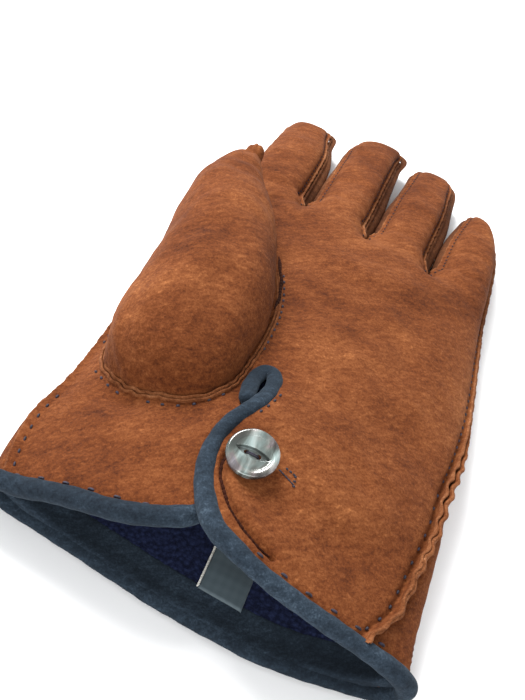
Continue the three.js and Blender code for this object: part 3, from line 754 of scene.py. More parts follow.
def inboard(skin, distance, side):
    """A line on a skin at a distance in from its left (-1) or right (1) edge, with its outward normals."""
    rows, normals = (grid[:, ::-side] for grid in (skin, grid_normals(skin)))
    runs = [walked(row) for row in rows]
    line, out = (
        np.array([at_length(row, run, distance) for row, run in zip(grid, runs)]) for grid in (rows, normals)
    )
    return line, unit(out)


def dimpled(points, places, depth, radius):
    """Sink a skin under each stitch, as the thread's pull does."""
    flat, down = points.reshape(-1, 3), grid_normals(points)
    drop = np.zeros(len(flat))
    for p in places:
        near = np.abs(flat - p).max(axis=1) < 3 * radius
        gap = np.linalg.norm(flat[near] - p, axis=1)
        drop[near] = np.maximum(drop[near], np.exp(-((gap / radius) ** 2)))
    return (flat - drop[:, None] * depth * down.reshape(-1, 3)).reshape(points.shape)


print("a stitch is a bar of 56 points")

# %% [markdown]
# The palm's two flaps overlap at the cuff. Both are cut from the same grid, once lifted and once not, and
# only the faces inside each flap's outline in plan are kept. The rolled binding later hides the stepped
# edge that this leaves.

# %% Outlines of the flaps
VENT_EDGE = [
    (-7.6, 47), (-8.4, 51.5), (-8.6, 56), (-8.1, 60), (-6.8, 62.3), (-4.8, 62.3), (-3.3, 60), (-2.7, 56),
    (-2.9, 51.5), (-4.0, 46.5), (-5.8, 41.5), (-8.0, 36.5), (-9.4, 31), (-9.7, 24.5), (-8.8, 18.8),
    (-7.1, 13.8), (-4.7, 9.2), (-1.9, 5.1), (1.6, 2.1), (6, 0.4), (12.4, -1.5), (19, -2.6), (27, -3.0),
    (35.5, -3.0), (42.5, -2.7), (49.5, -2.2),
]
UNDER_EDGE = [  # the last value is how far the roll dips under the other flap
    (-51, 1.9, 0), (-42, 1.5, 0), (-34, 1.0, 0), (-25.6, 0.6, 0), (-18, 1.6, 0), (-11.4, 4.0, 0.8),
    (-7, 7.2, 1.8), (-4.2, 12, 2.6),
]
HIDDEN_EDGE = [(-1.5, 16), (0.5, 25), (0, 36), (-3, 44), (-7.4, 48.4)]
RIGHT_CORNER = [(55.6, -1.8, 13.0), (58.8, -1.0, 8.8), (57.8, -0.4, 4.6)]
LEFT_CORNER = [(-59.0, 5.4, 4.6), (-61.0, 3.8, 9.2), (-57.6, 2.3, 14.2)]
BACK_EDGE = [(53.6, -0.8), (48, -2), (35, -4), (22, -5.1), (8, -4.2), (-7, -2.6), (-23, 0.2), (-39, 3.1), (-54.6, 5.8)]
VENT_TOP = 62.6
FAR = 120

teardrop_top = 5
right_flap = VENT_EDGE[teardrop_top:] + [(55.6, -1.8), (FAR, -1.8), (FAR, 63.6), (-4.8, 63.6)]
left_flap = (
    [(-FAR, 2.3), (-57.6, 2.3)] + [(x, y) for x, y, _ in UNDER_EDGE] + HIDDEN_EDGE
    + VENT_EDGE[1:teardrop_top] + [(-6.8, 63.6), (-FAR, 63.6)]
)
back_outline = [(FAR, -0.8)] + BACK_EDGE + [(-FAR, 5.8), (-FAR, 300), (FAR, 300)]


def inside(outline):
    """A test for points (..., 3): are they inside an outline in plan?"""
    def test(points):
        x, y = points[..., 0], points[..., 1]
        crossed = np.zeros(x.shape, bool)
        for (ax, ay), (bx, by) in zip(outline, outline[1:] + outline[:1]):
            if ay != by:
                crossed ^= ((ay > y) != (by > y)) & (x < (bx - ax) * (y - ay) / (by - ay) + ax)
        return crossed
    return test


print("points round the right flap:", len(right_flap))

# %% [markdown]
# The side seams stand up from the hand. Toward the cuff the leather is longer than the thread, so the two
# raw edges ripple every 5 to 8 mm, most of all on the little finger's side.

# %% Sewn edges of the hand and the fingers
def side_wave(y, size, length, shift=0.0):
    """The ripple of a sewn edge, a little uneven."""
    return size * np.sin(2 * math.pi * (y + 0.7 * np.sin(y / 5.7)) / length + shift)


def outer_edge(half, nominal, side):
    """Turn, width and wave of the edge along the outer side of the hand and of its outermost finger."""
    near_cuff = 1 - eased(58, 104, nominal)
    if side > 0:
        width = OUTER_EDGE + 0.7 * near_cuff
        turn = np.radians(26 + 52 * near_cuff - 24 * (1 - eased(2, 26, nominal)))
        wave = side_wave(nominal, 0.12 + 0.4 * near_cuff, 7.6)
        thick = THICK + (0 if half.over else 0.5) * near_cuff
    else:
        width = OUTER_EDGE - 0.4 * near_cuff
        turn = np.radians(22 - 22 * near_cuff)
        wave, thick = side_wave(nominal, 0.12, 5.0), THICK
    return turn, width, wave, thick


def inner_edge(half, nominal, side):
    """The same beside a slit between two fingers, where the edge starts from nothing at the crotch."""
    grown = eased(CROTCH_ROW - 0.5, CROTCH_ROW + 8, nominal)
    wave = side_wave(nominal, 0.2 * grown, 3.1, side)
    turn = math.radians((46 if side > 0 else -4) if half.over else -20)
    return turn, np.maximum(INNER_EDGE * grown, 0.01), wave, THICK


palm, back = Half(True), Half(False)
finger_parts = {half: [finger_skin(half, n) for n in range(4)] for half in (palm, back)}
hand_parts = {half: hand_skin(half) for half in (palm, back)}

for half in (palm, back):  # the fingers' first rows start exactly on the hand's last row
    last = hand_parts[half][0][-1]
    for number, (skin, nominal, row) in enumerate(finger_parts[half]):
        gap = last[number * COLUMNS : (number + 1) * COLUMNS + 1] - skin[0]
        skin += gap[None] * (1 - eased(CROTCH_ROW, CROTCH_ROW + 16, nominal))[:, None, None]

palm_hand = with_relief(*hand_parts[palm])
palm_lifted = with_relief(*hand_skin(palm, 1.0))
palm_fingers = [with_relief(skin, row) for skin, nominal, row in finger_parts[palm]]
back_hand = hand_parts[back][0]
back_fingers = [skin for skin, nominal, row in finger_parts[back]]
seam_lines = {  # the planes of the seams between the fingers, before the layers part
    (half, number): (skin[:, 0].copy(), skin[:, -1].copy())
    for half, skins in ((palm, palm_fingers), (back, back_fingers)) for number, skin in enumerate(skins)
}


def edges_of(half, number=None):
    """The two sewn edges of the hand, or of one finger."""
    if number is None:
        return [outer_edge(half, HAND_ROWS, side) for side in (-1, 1)]
    nominal = finger_parts[half][number][1]
    kinds = (outer_edge if number == 0 else inner_edge, outer_edge if number == 3 else inner_edge)
    return [kind(half, nominal, side) for kind, side in zip(kinds, (-1, 1))]


palm_hand, palm_lifted = (parted(palm, skin, *edges_of(palm)) for skin in (palm_hand, palm_lifted))
back_hand = parted(back, back_hand, *edges_of(back))
palm_fingers = [parted(palm, skin, *edges_of(palm, n)) for n, skin in enumerate(palm_fingers)]
back_fingers = [parted(back, skin, *edges_of(back, n)) for n, skin in enumerate(back_fingers)]
print("height of the palm's grid, mm:", np.round(palm_hand[:, :, 2].max(), 1))

# %% [markdown]
# The hand sewing is a running stitch: along the fingers one every 2.9 mm, close to the edge, and along the
# sides of the hand one every 3.4 to 5.6 mm, a little further in.

# %% Stitch places of the panels
stitch_rows = []  # places, directions along, length, radius, how far it is sunk, directions out


def sew(skin, side, distance, step, length, start=0.0, stop=None, rows=slice(None), across=False, radius=0.31):
    """Place a row of stitches beside a panel's left (-1) or right (1) edge."""
    line, out = inboard(skin[rows], distance, side)
    places, along = stepped(line, step, start, stop)
    nearest = [np.argmin(np.linalg.norm(line - p, axis=1)) for p in places]
    if across:
        along = np.cross(along, out[nearest])
    stitch_rows.append((places, along, length, radius, 0.55, out[nearest]))


tip_rows = slice(0, int(FINGER_ROWS * 0.93))
for number, skin in enumerate(palm_fingers):
    for side in (-1, 1):
        outermost = (number, side) in ((0, -1), (3, 1))
        distance, thick = (1.3, 0.26) if outermost else (1.25, 0.22)
        sew(skin, side, distance, 2.9, 0.9, start=1.2, rows=tip_rows, across=not outermost, radius=thick)
split = int(np.searchsorted(HAND_ROWS, VENT_TOP))  # the row where the flaps begin
upper_rows, lower_rows = slice(split, None), slice(8, split + 1)
sew(palm_hand, -1, 1.3, 4.7, 1.6, start=13, stop=44, rows=lower_rows)
sew(palm_hand, -1, 1.4, 3.4, 1.3, start=2, rows=upper_rows)
sew(palm_lifted, 1, 1.8, 5.6, 1.3, start=2, rows=lower_rows, radius=0.4)
sew(palm_hand, 1, 1.4, 3.4, 1.3, start=2, rows=upper_rows)
print("stitches:", sum(len(row[0]) for row in stitch_rows))

# %% [markdown]
# Now the palm itself. Each stitch has pulled a small dimple into the leather, so the skins are sunk there
# first. Then the hand, the two flaps and the four fingers are laid into one mesh and welded.

# %% The palm
all_places = np.concatenate([row[0] for row in stitch_rows])


def palm_sheet(skin, number=None):
    """A skin of the palm, with its dimples and its sewn edges."""
    return with_edges(palm, dimpled(skin, all_places, 0.5, 0.9), *edges_of(palm, number))


palm_piece = Piece("palm", "palm_panel")
whole, lifted = palm_sheet(palm_hand), palm_sheet(palm_lifted)
marks = edge_marks(whole)
palm_piece.grid(whole[split:], marks)
palm_piece.grid(whole[: split + 1], marks, keep=inside(left_flap))
palm_piece.grid(lifted[: split + 1], marks, keep=inside(right_flap))
for number, skin in enumerate(palm_fingers):
    grid = palm_sheet(skin, number)
    palm_piece.grid(grid, edge_marks(grid))
palm_piece.make([rust_suede, raw_edge], "rust_suede")

# %% [markdown]
# The back is one piece of the same suede. The glove lies on it, so it is pressed flat underneath and wraps
# up a little round both sides to meet the palm.

# %% The back
back_piece = Piece("back", "back_panel")
whole = with_edges(back, back_hand, *edges_of(back))
back_piece.grid(whole, edge_marks(whole), keep=inside(back_outline), flip=True)
for number, skin in enumerate(back_fingers):
    grid = with_edges(back, skin, *edges_of(back, number))
    back_piece.grid(grid, edge_marks(grid), flip=True)
back_piece.make([rust_suede, raw_edge], "rust_suede")

# %% [markdown]
# Between two fingers runs one narrow strip of suede, folded in a V at the crotch. Its two long sides are sewn
# to the palm and to the back, so each row of the strip simply spans from the palm's edge to the back's edge
# of the same finger, and bulges a little as leather does over a finger.

# %% The strips between the fingers
def strip_rows(number, side):
    """Rows of a strip along one finger, from its crotch to its tip, with the sewn edges above and below."""
    column = -1 if side > 0 else 0
    upper, lower = seam_lines[palm, number][column], seam_lines[back, number][column]
    nominal = finger_parts[palm][number][1]
    grown = eased(CROTCH_ROW, CROTCH_ROW + 9, nominal)[:, None]
    turn_high, turn_low = inner_edge(palm, nominal, side)[0], inner_edge(back, nominal, side)[0]
    top = upper + edge_frame(upper, side, turn_high, -1)[1] * (THICK + GAP) * grown
    bottom = lower + edge_frame(lower, side, turn_low, 1)[1] * (THICK + GAP) * grown
    v = np.linspace(0, 1, 12)[None, :, None]
    wall = top[:, None] * (1 - v) + bottom[:, None] * v
    full = 0.95 + 0.4 * np.exp(-(((nominal - 196) / 20) ** 2))[:, None]  # it nearly closes the slit half way up
    bulge = full * INNER_ROOM * grown * np.sin(np.linspace(0, math.pi, 12))[None, :] ** 0.8
    wall += outward(upper, side)[:, None] * bulge[:, :, None]
    width = np.maximum(INNER_EDGE * grown[:, 0], 0.01) * 0.7
    wave = side_wave(nominal, 0.2 * grown[:, 0], 3.1, side)
    high = edge_columns(wall[:, 0], side, turn_high, width, -1, wave)
    low = edge_columns(wall[:, -1], side, turn_low, width, 1, wave)
    return np.concatenate([high[:, ::-1], wall, low], axis=1)


for number, name in enumerate(("fourchette_index_middle", "fourchette_middle_ring", "fourchette_ring_little")):
    grid = np.concatenate([strip_rows(number, 1)[::-1], strip_rows(number + 1, -1)], axis=0)
    strip_piece = Piece(f"strip_{number + 1}", name).grid(grid, edge_marks(grid), flip=True)
    # the strips are of the same rust suede; their darker colour is painted shade
    strip_piece.make([suede_with_painted_shade, suede_with_painted_shade], "rust_suede")

# %% [markdown]
# The thumb is a pod of suede sewn into a hole in the palm. It lies folded over, so its foot is hidden in the
# seam and its tip points along the glove. Its end is gathered to a small knob. The mesh is a closed skin,
# and whatever would lie under the palm is drawn up to just below the palm's face.

# %% The thumb
THUMB = [
    (41.0, -34.0, -29.0, 20, 24.0, 27.0, 2),
    (42.2, -40.0, -23.6, 19, 27.4, 32.6, 2),
    (46, -46.8, -18.4, 18, 29, 38.6, 2),
    (52, -52.0, -14.8, 13, 29.5, 42.8, 2.05),
    (61, -53.8, -13.0, 12, 30.5, 46.8, 2.05),
    (73, -54.2, -12.8, 12, 31.5, 49.6, 2.05),
    (88, -54.4, -14.2, 12, 32.5, 51.0, 2.05),
    (104, -55.9, -19.0, 13, 33.5, 50.8, 2.1),
    (114, -57.4, -22.6, 20, 34.5, 50.0, 2.1),
    (130, -58.2, -29.6, 27, 35, 47.6, 2.2),
    (142, -57.4, -36.0, 27, 34.8, 44.6, 2.3),
    (152, -55.4, -41.2, 27.6, 34.4, 41.8, 2.4),
    (157.5, -53.4, -43.4, 29, 34.4, 40.0, 2.4),
    (160.4, -51.8, -44.2, 30.6, 34.8, 38.8, 2.3),
    (162.2, -51.0, -44.2, 31.0, 35.2, 39.6, 2.2),
    (164.6, -50.8, -44.0, 31.4, 35.6, 40.0, 2.1),
    (166.4, -50.0, -44.8, 32.6, 35.6, 39.0, 2),
    (167.2, -47.8, -47.0, 34.8, 35.6, 36.4, 2),
]
THUMB_COLUMNS = 132
thumb_waves = [waves(30), waves(13), waves(6)]
THUMB_CREASES = [
    (3.0, 0.5, [(-50, 136), (-43, 133), (-38, 136)]),
    (2.4, 0.4, [(-52, 146), (-46, 143), (-41, 146)]),
    (5, 0.5, [(-26, 62), (-28, 78), (-33, 92)]),
    (5, -0.5, [(-20, 66), (-21, 82), (-26, 98)]),
    (4, 0.35, [(-46, 112), (-38, 106), (-30, 108)]),
    (1.1, 0.9, [(-53, 158.6), (-48, 157.8), (-44.4, 159.6)]),
    (0.9, 0.6, [(-49.6, 166), (-49.0, 161.5), (-47.0, 155.5)]),
    (0.8, 0.5, [(-47.2, 166), (-47.0, 162.5), (-45.6, 158)]),
]


def thumb_skin(rows=230):
    """The pod's skin. At its foot the sides go straight down into the palm, further on they round under."""
    row = pod_sections(THUMB, rows)
    row["under"] = UNDER_ROUND + 6 * (1 - eased(98, 114, row["y"]))
    round_trip = np.linspace(0, 2 * math.pi, 721)[None, :] + 0 * row["y"]
    points = shared_out(row, round_trip, np.linspace(0, 1, THUMB_COLUMNS, endpoint=False))
    out = -grid_normals(points)
    x, y, z = np.moveaxis(points, 2, 0)
    lift = 0.4 * swell(x + z, y, thumb_waves[0]) + 0.2 * swell(x + z, y - z, thumb_waves[1])
    lift += 0.07 * swell(x - z, y + z, thumb_waves[2])
    for crease in THUMB_CREASES:
        lift -= furrow(x, y, *crease) * eased(34, 37, z)
    points = points + out * lift[:, :, None]
    sunk_to = palm_height(points[:, :, 0].ravel(), points[:, :, 1].ravel()).reshape(rows, -1) - 0.7
    foot = (points[:, :, 1] < 112) & (points[:, :, 2] < sunk_to)
    points[:, :, 2] = np.where(foot, sunk_to, points[:, :, 2])
    return points


Piece("thumb_pod", "thumb").grid(thumb_skin(), closed=True, flip=True).make([rust_suede], "rust_suede")

# %% [markdown]
# Round the foot of the thumb the two raw edges stand up as a low double ridge with a dark line between. It
# is widest and most rippled on the side toward the cuff, and it slips under the thumb on both sides.

# %% The seam round the thumb's foot
THUMB_SEAM = [
    (-55.8, 92), (-55.5, 78), (-54.9, 66), (-53.2, 55.5), (-49.0, 47.8),
    (-42, 42.6), (-32, 40.6), (-22.6, 41.6), (-16.4, 46.2), (-13.2, 54),
    (-12.0, 64), (-11.7, 76), (-12.7, 90), (-15.8, 102), (-19.4, 111),
]
SEAM_PROFILE = [(-1, -0.6), (-1, 0.35), (-0.75, 0.85), (-0.3, 1.0), (0.3, 1.0), (0.75, 0.85), (1, 0.35), (1, -0.6)]


def smooth_line(points, step):
    """A centripetal curve through points, as places about a step apart."""
    p = np.array(points, float)
    p = np.concatenate([2 * p[:1] - p[1:2], p, 2 * p[-1:] - p[-2:-1]])
    out = []
    for a, b, c, d in zip(p, p[1:], p[2:], p[3:]):
        t = np.cumsum([0] + [max(np.linalg.norm(n - m) ** 0.5, 1e-6) for m, n in ((a, b), (b, c), (c, d))])
        u = np.linspace(t[1], t[2], max(2, int(np.ceil(np.linalg.norm(c - b) / step)) + 1))[:-1, None]
        m1 = (b - a) / t[1] - (c - a) / t[2] + (c - b) / (t[2] - t[1])
        m2 = (c - b) / (t[2] - t[1]) - (d - b) / (t[3] - t[1]) + (d - c) / (t[3] - t[2])
        w = t[2] - t[1]
        v = (u - t[1]) / w
        h = (2 * v**3 - 3 * v**2 + 1) * b + (v**3 - 2 * v**2 + v) * w * m1
        out.append(h + (-2 * v**3 + 3 * v**2) * c + (v**3 - v**2) * w * m2)
    out.append(p[-2:-1])
    return np.concatenate(out)


seam_plan = smooth_line(THUMB_SEAM, 0.45)
seam_run = walked(seam_plan)
seam_along = unit(np.gradient(seam_plan, axis=0))
seam_out = np.c_[seam_along[:, 1], -seam_along[:, 0]]  # away from the thumb


def seam_layer(offset, tall, wide, shift):
    """One raw edge: a low rounded wall beside the seam's middle line."""
    toward_cuff = 1 - eased(50, 66, seam_plan[:, 1])
    ripple = np.sin(2 * math.pi * seam_run / 4.9 + 1.6 * np.sin(seam_run / 5) + shift)
    ripple = ripple * (0.6 + 0.4 * np.sin(seam_run / 7))
    sway = (0.08 + 0.2 * toward_cuff) * ripple
    middle = seam_plan + seam_out * (offset + sway)[:, None]
    ground = palm_height(middle[:, 0], middle[:, 1])
    rise = tall * (0.55 + 0.45 * toward_cuff) * (1 + 0.12 * np.sin(seam_run / 1.3 + shift))
    rise *= 1 - 0.65 * eased(86, 94, seam_plan[:, 1]) * (seam_plan[:, 0] > -30)
    lines = []
    for across, up in SEAM_PROFILE:
        line = middle + seam_out * (across * wide / 2)
        lines.append(np.c_[line, ground + np.where(up > 0, up * rise, up)])
    return np.stack(lines, axis=1)


seam_piece = Piece("thumb_seam_edges", "thumb_seam")
for layer in ((-0.2, 1.45, 0.82, 0.3), (0.8, 1.1, 0.86, 0.5)):
    seam_piece.grid(seam_layer(*layer), [0, 1, 1, 1, 1, 1, 0], flip=True)
seam_piece.make([rust_suede, raw_edge], "rust_suede")

# %% [markdown]
# The cuff and the vent are bound with a soft roll of slate suede. It is one strip, folded over the edge, so
# it is drawn as one tube along one path: round the teardrop, down the overlapping flap, along the cuff,
# across the back, and along the other flap until it slips underneath. The tube is a little thicker at the
# cuff, and pressed flat where the glove lies on it.

# %% The binding
ROLL = 2.8  # radius at the cuff, mm


def vent_place(x, y, lifted, dip=0.0):
    """Where the middle of the roll runs, a little under the palm's face."""
    return (x, y, float(palm_height(x, y, lifted)[0]) - 0.7 - dip)


binding_points = (
    [vent_place(x, y, 1) for x, y in VENT_EDGE]
    + RIGHT_CORNER
    + [(x, y, 2.1) for x, y in BACK_EDGE]
    + LEFT_CORNER
    + [vent_place(x, y, 0, dip) for x, y, dip in UNDER_EDGE]
)
binding_line = smooth_line(binding_points, 0.7)


def tube(line, radius, sides, squash=None):
    """Rings round a line that don't twist. squash scales their height where the tube is pressed flat."""
    along = unit(np.gradient(line, axis=0))
    across = np.empty_like(line)
    first = np.cross(along[0], (0, 0, 1))
    across[0] = first / np.linalg.norm(first)
    for i in range(1, len(line)):
        turned = across[i - 1] - along[i] * np.dot(across[i - 1], along[i])
        across[i] = turned / np.linalg.norm(turned)
    third = np.cross(along, across)
    angle = np.linspace(0, 2 * math.pi, sides, endpoint=False)
    radius = np.broadcast_to(radius, (len(line),))[:, None, None]
    ring = radius * (np.cos(angle)[None, :, None] * across[:, None] + np.sin(angle)[None, :, None] * third[:, None])
    if squash is not None:
        ring[:, :, 2] *= squash[:, None]
    return line[:, None] + ring


def round_end(points):
    """Close both ends of a tube with two smaller rings each."""
    rings = [points]
    for end, inner in ((0, 1), (-1, -2)):
        centre = points[end].mean(axis=0)
        push = unit(centre - points[inner].mean(axis=0)) * np.linalg.norm(points[end, 0] - centre)
        caps = [centre + (points[end] - centre) * s + push * p for s, p in ((0.8, 0.5), (0.4, 0.8), (0.02, 0.9))]
        rings = [np.stack(caps[::-1])] + rings if end == 0 else rings + [np.stack(caps)]
    return np.concatenate(rings)


x, y, z = binding_line.T
run = walked(binding_line)
on_back = 1 - eased(3.2, 9, z)
at_vent = eased(4, 30, y)
at_teardrop = eased(44, 52, y)
on_flap = eased(0, 12, x) * (1 - eased(47, 55, x)) * eased(9, 14, z)
radius = ROLL - 0.45 * at_vent + 0.05 * at_teardrop - 0.4 * on_flap * (1 - at_vent)
radius = radius + 0.07 * np.sin(run / 2.3) + 0.05 * np.sin(run / 0.9 + 1)
roll = tube(binding_line, radius, 28, 1 - 0.3 * on_back - 0.3 * at_teardrop)
Piece("binding", "cuff_binding").grid(round_end(roll), closed=True).make([slate_suede], "slate_suede")

# %% [markdown]
# Inside the back of the cuff the binding goes on as a flat facing, 9 to 10 mm wide, and the lining starts at
# its edge. Both follow the inside of the hand's sections.

# %% The facing
def back_edge_y(x):
    return through(sorted(BACK_EDGE), x)


def inside_ring(wall, depth, start, end, count):
    """Points round the inside of the cuff, at places along the glove, from one angle to another."""
    row = slimmed(sections(HAND, depth), wall, wall)
    row["top"], row["bottom"] = row["top"] - wall, row["bottom"] + wall
    return along_section(row, np.full_like(row["y"], start), np.full_like(row["y"], end), np.linspace(0, 1, count))


FACING = [  # the facing in section: how far in from the cuff's edge, and how far inside the hand's outline
    (-0.7, 1.2), (-0.7, 2.8), (-0.6, 4.3), (0.4, 4.5), (1.5, 4.4),
    (2.6, 4.2), (3.8, 4.1), (5.0, 4.1), (6.2, 4.2), (7.4, 4.4),
    (8.4, 4.6), (9.0, 4.5), (9.3, 4.0), (9.3, 3.2), (8.8, 2.8),
]
FLAP_EDGE = [
    (-60, 3.8), (-57.6, 2.6), (-51, 2.2), (-42, 1.8), (0, 2),
    (35, -2.6), (49.5, -1.9), (55.6, -1.5), (58, -1),
]


def facing_grid(columns=260):
    """The facing as a sheet round the inside of the cuff, from corner to corner."""
    lines = []
    for depth, wall in FACING:
        line = inside_ring(wall - 0.3, [4.0], math.pi - 0.75, 2 * math.pi + 0.75, columns)[0]
        high = eased(9, 15, line[:, 2])
        line[:, 1] = back_edge_y(line[:, 0]) * (1 - high) + through(FLAP_EDGE, line[:, 0]) * high + depth
        lines.append(line)
    grid = np.stack(lines)
    x, y = grid[:, :, 0], grid[:, :, 1]
    grid[:, :, 2] += 0.16 * swell(x, y, MIDDLE) + 0.07 * swell(x, y, SMALL)
    return grid


Piece("facing", "cuff_facing").grid(facing_grid()).make([slate_suede], "slate_suede")

# %% [markdown]
# The lining is a knitted navy fleece. Its pile makes small soft nubs, about 1 mm across and a quarter of a
# millimetre high. They are real geometry, with a finer bump on top.

# %% The lining
def fleece():
    """Short pile with a soft blue fuzz; its colour is darker between its nubs as painted shade."""
    material, tree, shader, place = new_material("navy fleece", {
        "Roughness": 1.0, "IOR": 1.5, "Specular IOR Level": 0.1,
        "Sheen Weight": 0.35, "Sheen Roughness": 0.6, "Sheen Tint": linear("#4B5384"),
    })
    nub = node(
        tree, "ShaderNodeTexVoronoi", {"feature": "SMOOTH_F1"}, {"Vector": place},
        Scale=per_metre(1.3), Smoothness=0.6,
    ).outputs["Distance"]
    fibre = node(tree, "ShaderNodeTexNoise", links={"Vector": place}, Scale=per_metre(0.5), Detail=3).outputs["Fac"]
    mixed = node(tree, "ShaderNodeMath", {"operation": "MULTIPLY"}, {0: nub, 1: fibre}).outputs[0]
    # darker where the bump sinks between the nubs: painted shade
    colour = colour_steps(tree, mixed, [(0.05, "#232B47"), (0.3, "#12172A"), (0.5, "#0A0D1A")])
    surfaced(tree, shader, colour, mixed, 0.9, 0.5, invert=True)
    return material


CEILING_EDGE = [
    (-60, 6), (-42, 5.5), (-25, 5), (-11, 8), (-6, 13), (-2, 15),
    (2, 11), (8, 6), (16, 3), (28, 1.5), (42, 2), (54, 3),
]
lining_waves = waves(1.9, 14), waves(1.3, 14)


def lining_grid(rows=150, columns=330, depth=128.0):
    """A closed sleeve of fleece, from just inside the cuff to its end in the palm."""
    share = np.linspace(0, 1, rows) ** 1.35
    places = 3 + share * (depth - 3)
    grid = inside_ring(4.6, places, math.pi / 2, 2.5 * math.pi, columns + 1)[:, :-1]
    front_low, front_high = back_edge_y(grid[:, :, 0]) + 8.6, through(CEILING_EDGE, grid[:, :, 0])
    high = eased(9, 16, grid[:, :, 2])
    front = front_low + (front_high - front_low) * high
    grid[:, :, 1] = front + (depth - front) * share[:, None]
    nubs = 0.16 * swell(grid[:, :, 0], grid[:, :, 1] + grid[:, :, 2], lining_waves[0])
    nubs += 0.1 * swell(grid[:, :, 0] - grid[:, :, 2], grid[:, :, 1], lining_waves[1])
    toward_middle = unit(np.array([0, 0, 14.0]) + 0 * grid - grid * (0, 0, 1) - grid * (0.15, 0, 0))
    grid += toward_middle * nubs[:, :, None]
    closing = np.linspace(0.7, 0.02, 4)[:, None, None]
    centre = grid[-1].mean(axis=0)
    return np.concatenate([grid, centre + (grid[-1] - centre)[None] * closing])


Piece("lining", "cuff_lining").grid(lining_grid(), closed=True).make([fleece()], "navy_fleece")

# %% [markdown]
# A woven tab is sewn to the lining. It is a flat satin ribbon, so it has a fine even weave and a little
# light, and it is left bare. A white twisted thread runs down its left edge.

# %% The tab
def ribbon():
    """Satin weave: its threads are about 0.15 mm in real ribbon, and 0.4 to 0.5 mm here, so that they show."""
    material, tree, shader, place = new_material("woven ribbon", {"Roughness": 0.62, "IOR": 1.5, "Sheen Weight": 0.15})
    warp, weft = (
        node(
            tree, "ShaderNodeTexWave", {"bands_direction": direction}, {"Vector": place},
            Scale=per_metre(size_mm) / 20, Distortion=0.3,  # a band is a twentieth of the pattern's repeat
        ).outputs["Fac"]
        for direction, size_mm in (("X", 0.4), ("Y", 0.5))
    )
    weave = blended(tree, [(warp, 0.5), (weft, 0.5)])
    surfaced(tree, shader, colour_steps(tree, weave, [(0.1, "#47545A"), (0.9, "#4E5B61")]), weave, 0.2, 0.05)
    return material


def tab_grid():
    """The tab's top and edges as one rounded sheet, laid over the facing's edge and on the fleece."""
    across, along = np.meshgrid(np.linspace(-1, 1, 41), np.linspace(0, 1, 61))
    x = LABEL["x"] + across * LABEL["width"] / 2 + 0.5 * (1 - along) - 0.4
    y = 2.6 + along * (LABEL["length"] - 1) - 0.9 * across * (1 - along)
    z = 5.6 - 0.5 * eased(0.3, 0.6, along) + 0.14 * np.sin(5 * along + 2 * across)
    drop = 0.4 * (eased(0.96, 1, np.abs(across)) + eased(0.97, 1, 1 - along))
    return np.stack([x, y, z - np.minimum(drop, 0.8)], axis=2)


tab_points = tab_grid()
Piece("tab", "label").grid(tab_points).make([ribbon()], "woven_tab")
twist = Piece("tab_thread")
places, ahead = stepped(tab_points[1:58, 0] + (-0.15, 0, 0.75), 0.62)
bars(twist, places, ahead + [0.55, 0, 0], 1.0, 0.24, sink=0.1)
twist.make([thread("white thread", "#B8B5AA", "#E8E6DE")], "button_thread")

# %% [markdown]
# The button is mother-of-pearl: layers of shell that split light into pale green, grey and pink. It is
# turned on a lathe, with a raised rim and a slim groove, the fish eye, that holds two holes. Soft clouds of
# tint under a clear gloss give the play of colour, and slanting bands give the layers of the shell.

# %% The button
EYE = {"half": 4.8, "across": 1.75, "deep": 1.1, "turn": math.radians(-3)}
BUTTON_PROFILE = [
    (0, 2.1), (3.6, 2.14), (5.4, 2.22), (6.3, 2.38), (6.8, 2.4), (7.2, 2.22), (7.42, 1.9),
    (7.5, 1.4), (7.42, 0.9), (7.1, 0.45), (6.2, 0.1), (3, 0), (0, 0),
]


def pearl(name, roughness=0.2, share=1.0):
    """Polished shell. share darkens its colour and thins its coat: in the eye's groove the shell is matte-cut, and its
    darker colour there is painted shade.
    """
    material, tree, shader, place = new_material(name, {
        "Roughness": roughness, "IOR": 1.53, "Metallic": 0.35,
        "Coat Weight": 0.6 * share, "Coat Roughness": 0.06,
    })
    turned = node(
        tree, "ShaderNodeMapping", links={"Vector": place},
        Rotation=(0.2, 0.1, math.radians(-52)), Scale=(1, 0.3, 1),
    ).outputs["Vector"]
    layers, cloud = (
        node(
            tree, "ShaderNodeTexNoise", links={"Vector": at},
            Scale=per_metre(size_mm), Detail=detail, Distortion=twist,
        ).outputs["Fac"]
        for at, size_mm, detail, twist in ((turned, 4.5, 4, 0.9), (place, 6.5, 2, 0.6))
    )
    bands = colour_steps(tree, layers, [(0.3, "#383733"), (0.45, "#62625D"), (0.55, "#868985"), (0.7, "#BCBFBC")])
    tint = colour_steps(tree, cloud, [(0.36, "#BFD8D8"), (0.48, "#DCDCD8"), (0.56, "#ECCFD6"), (0.68, "#CDBCD2")])
    multiply = {"data_type": "RGBA", "blend_type": "MULTIPLY"}
    mix = node(tree, "ShaderNodeMix", multiply, {6: bands, 7: tint}, Factor=0.75).outputs[2]
    # darkening by share: painted shade in the eye's groove
    dim = node(tree, "ShaderNodeMix", multiply, {6: mix}, Factor=1.0, _7=[share, share, share, 1]).outputs[2]
    surfaced(tree, shader, dim, layers, 0.12, 0.1)
    return material


def turned_round(x, y):
    """From the eye's own axes, along it and across it, to the button's."""
    turn = EYE["turn"]
    return x * math.cos(turn) - y * math.sin(turn), x * math.sin(turn) + y * math.cos(turn)


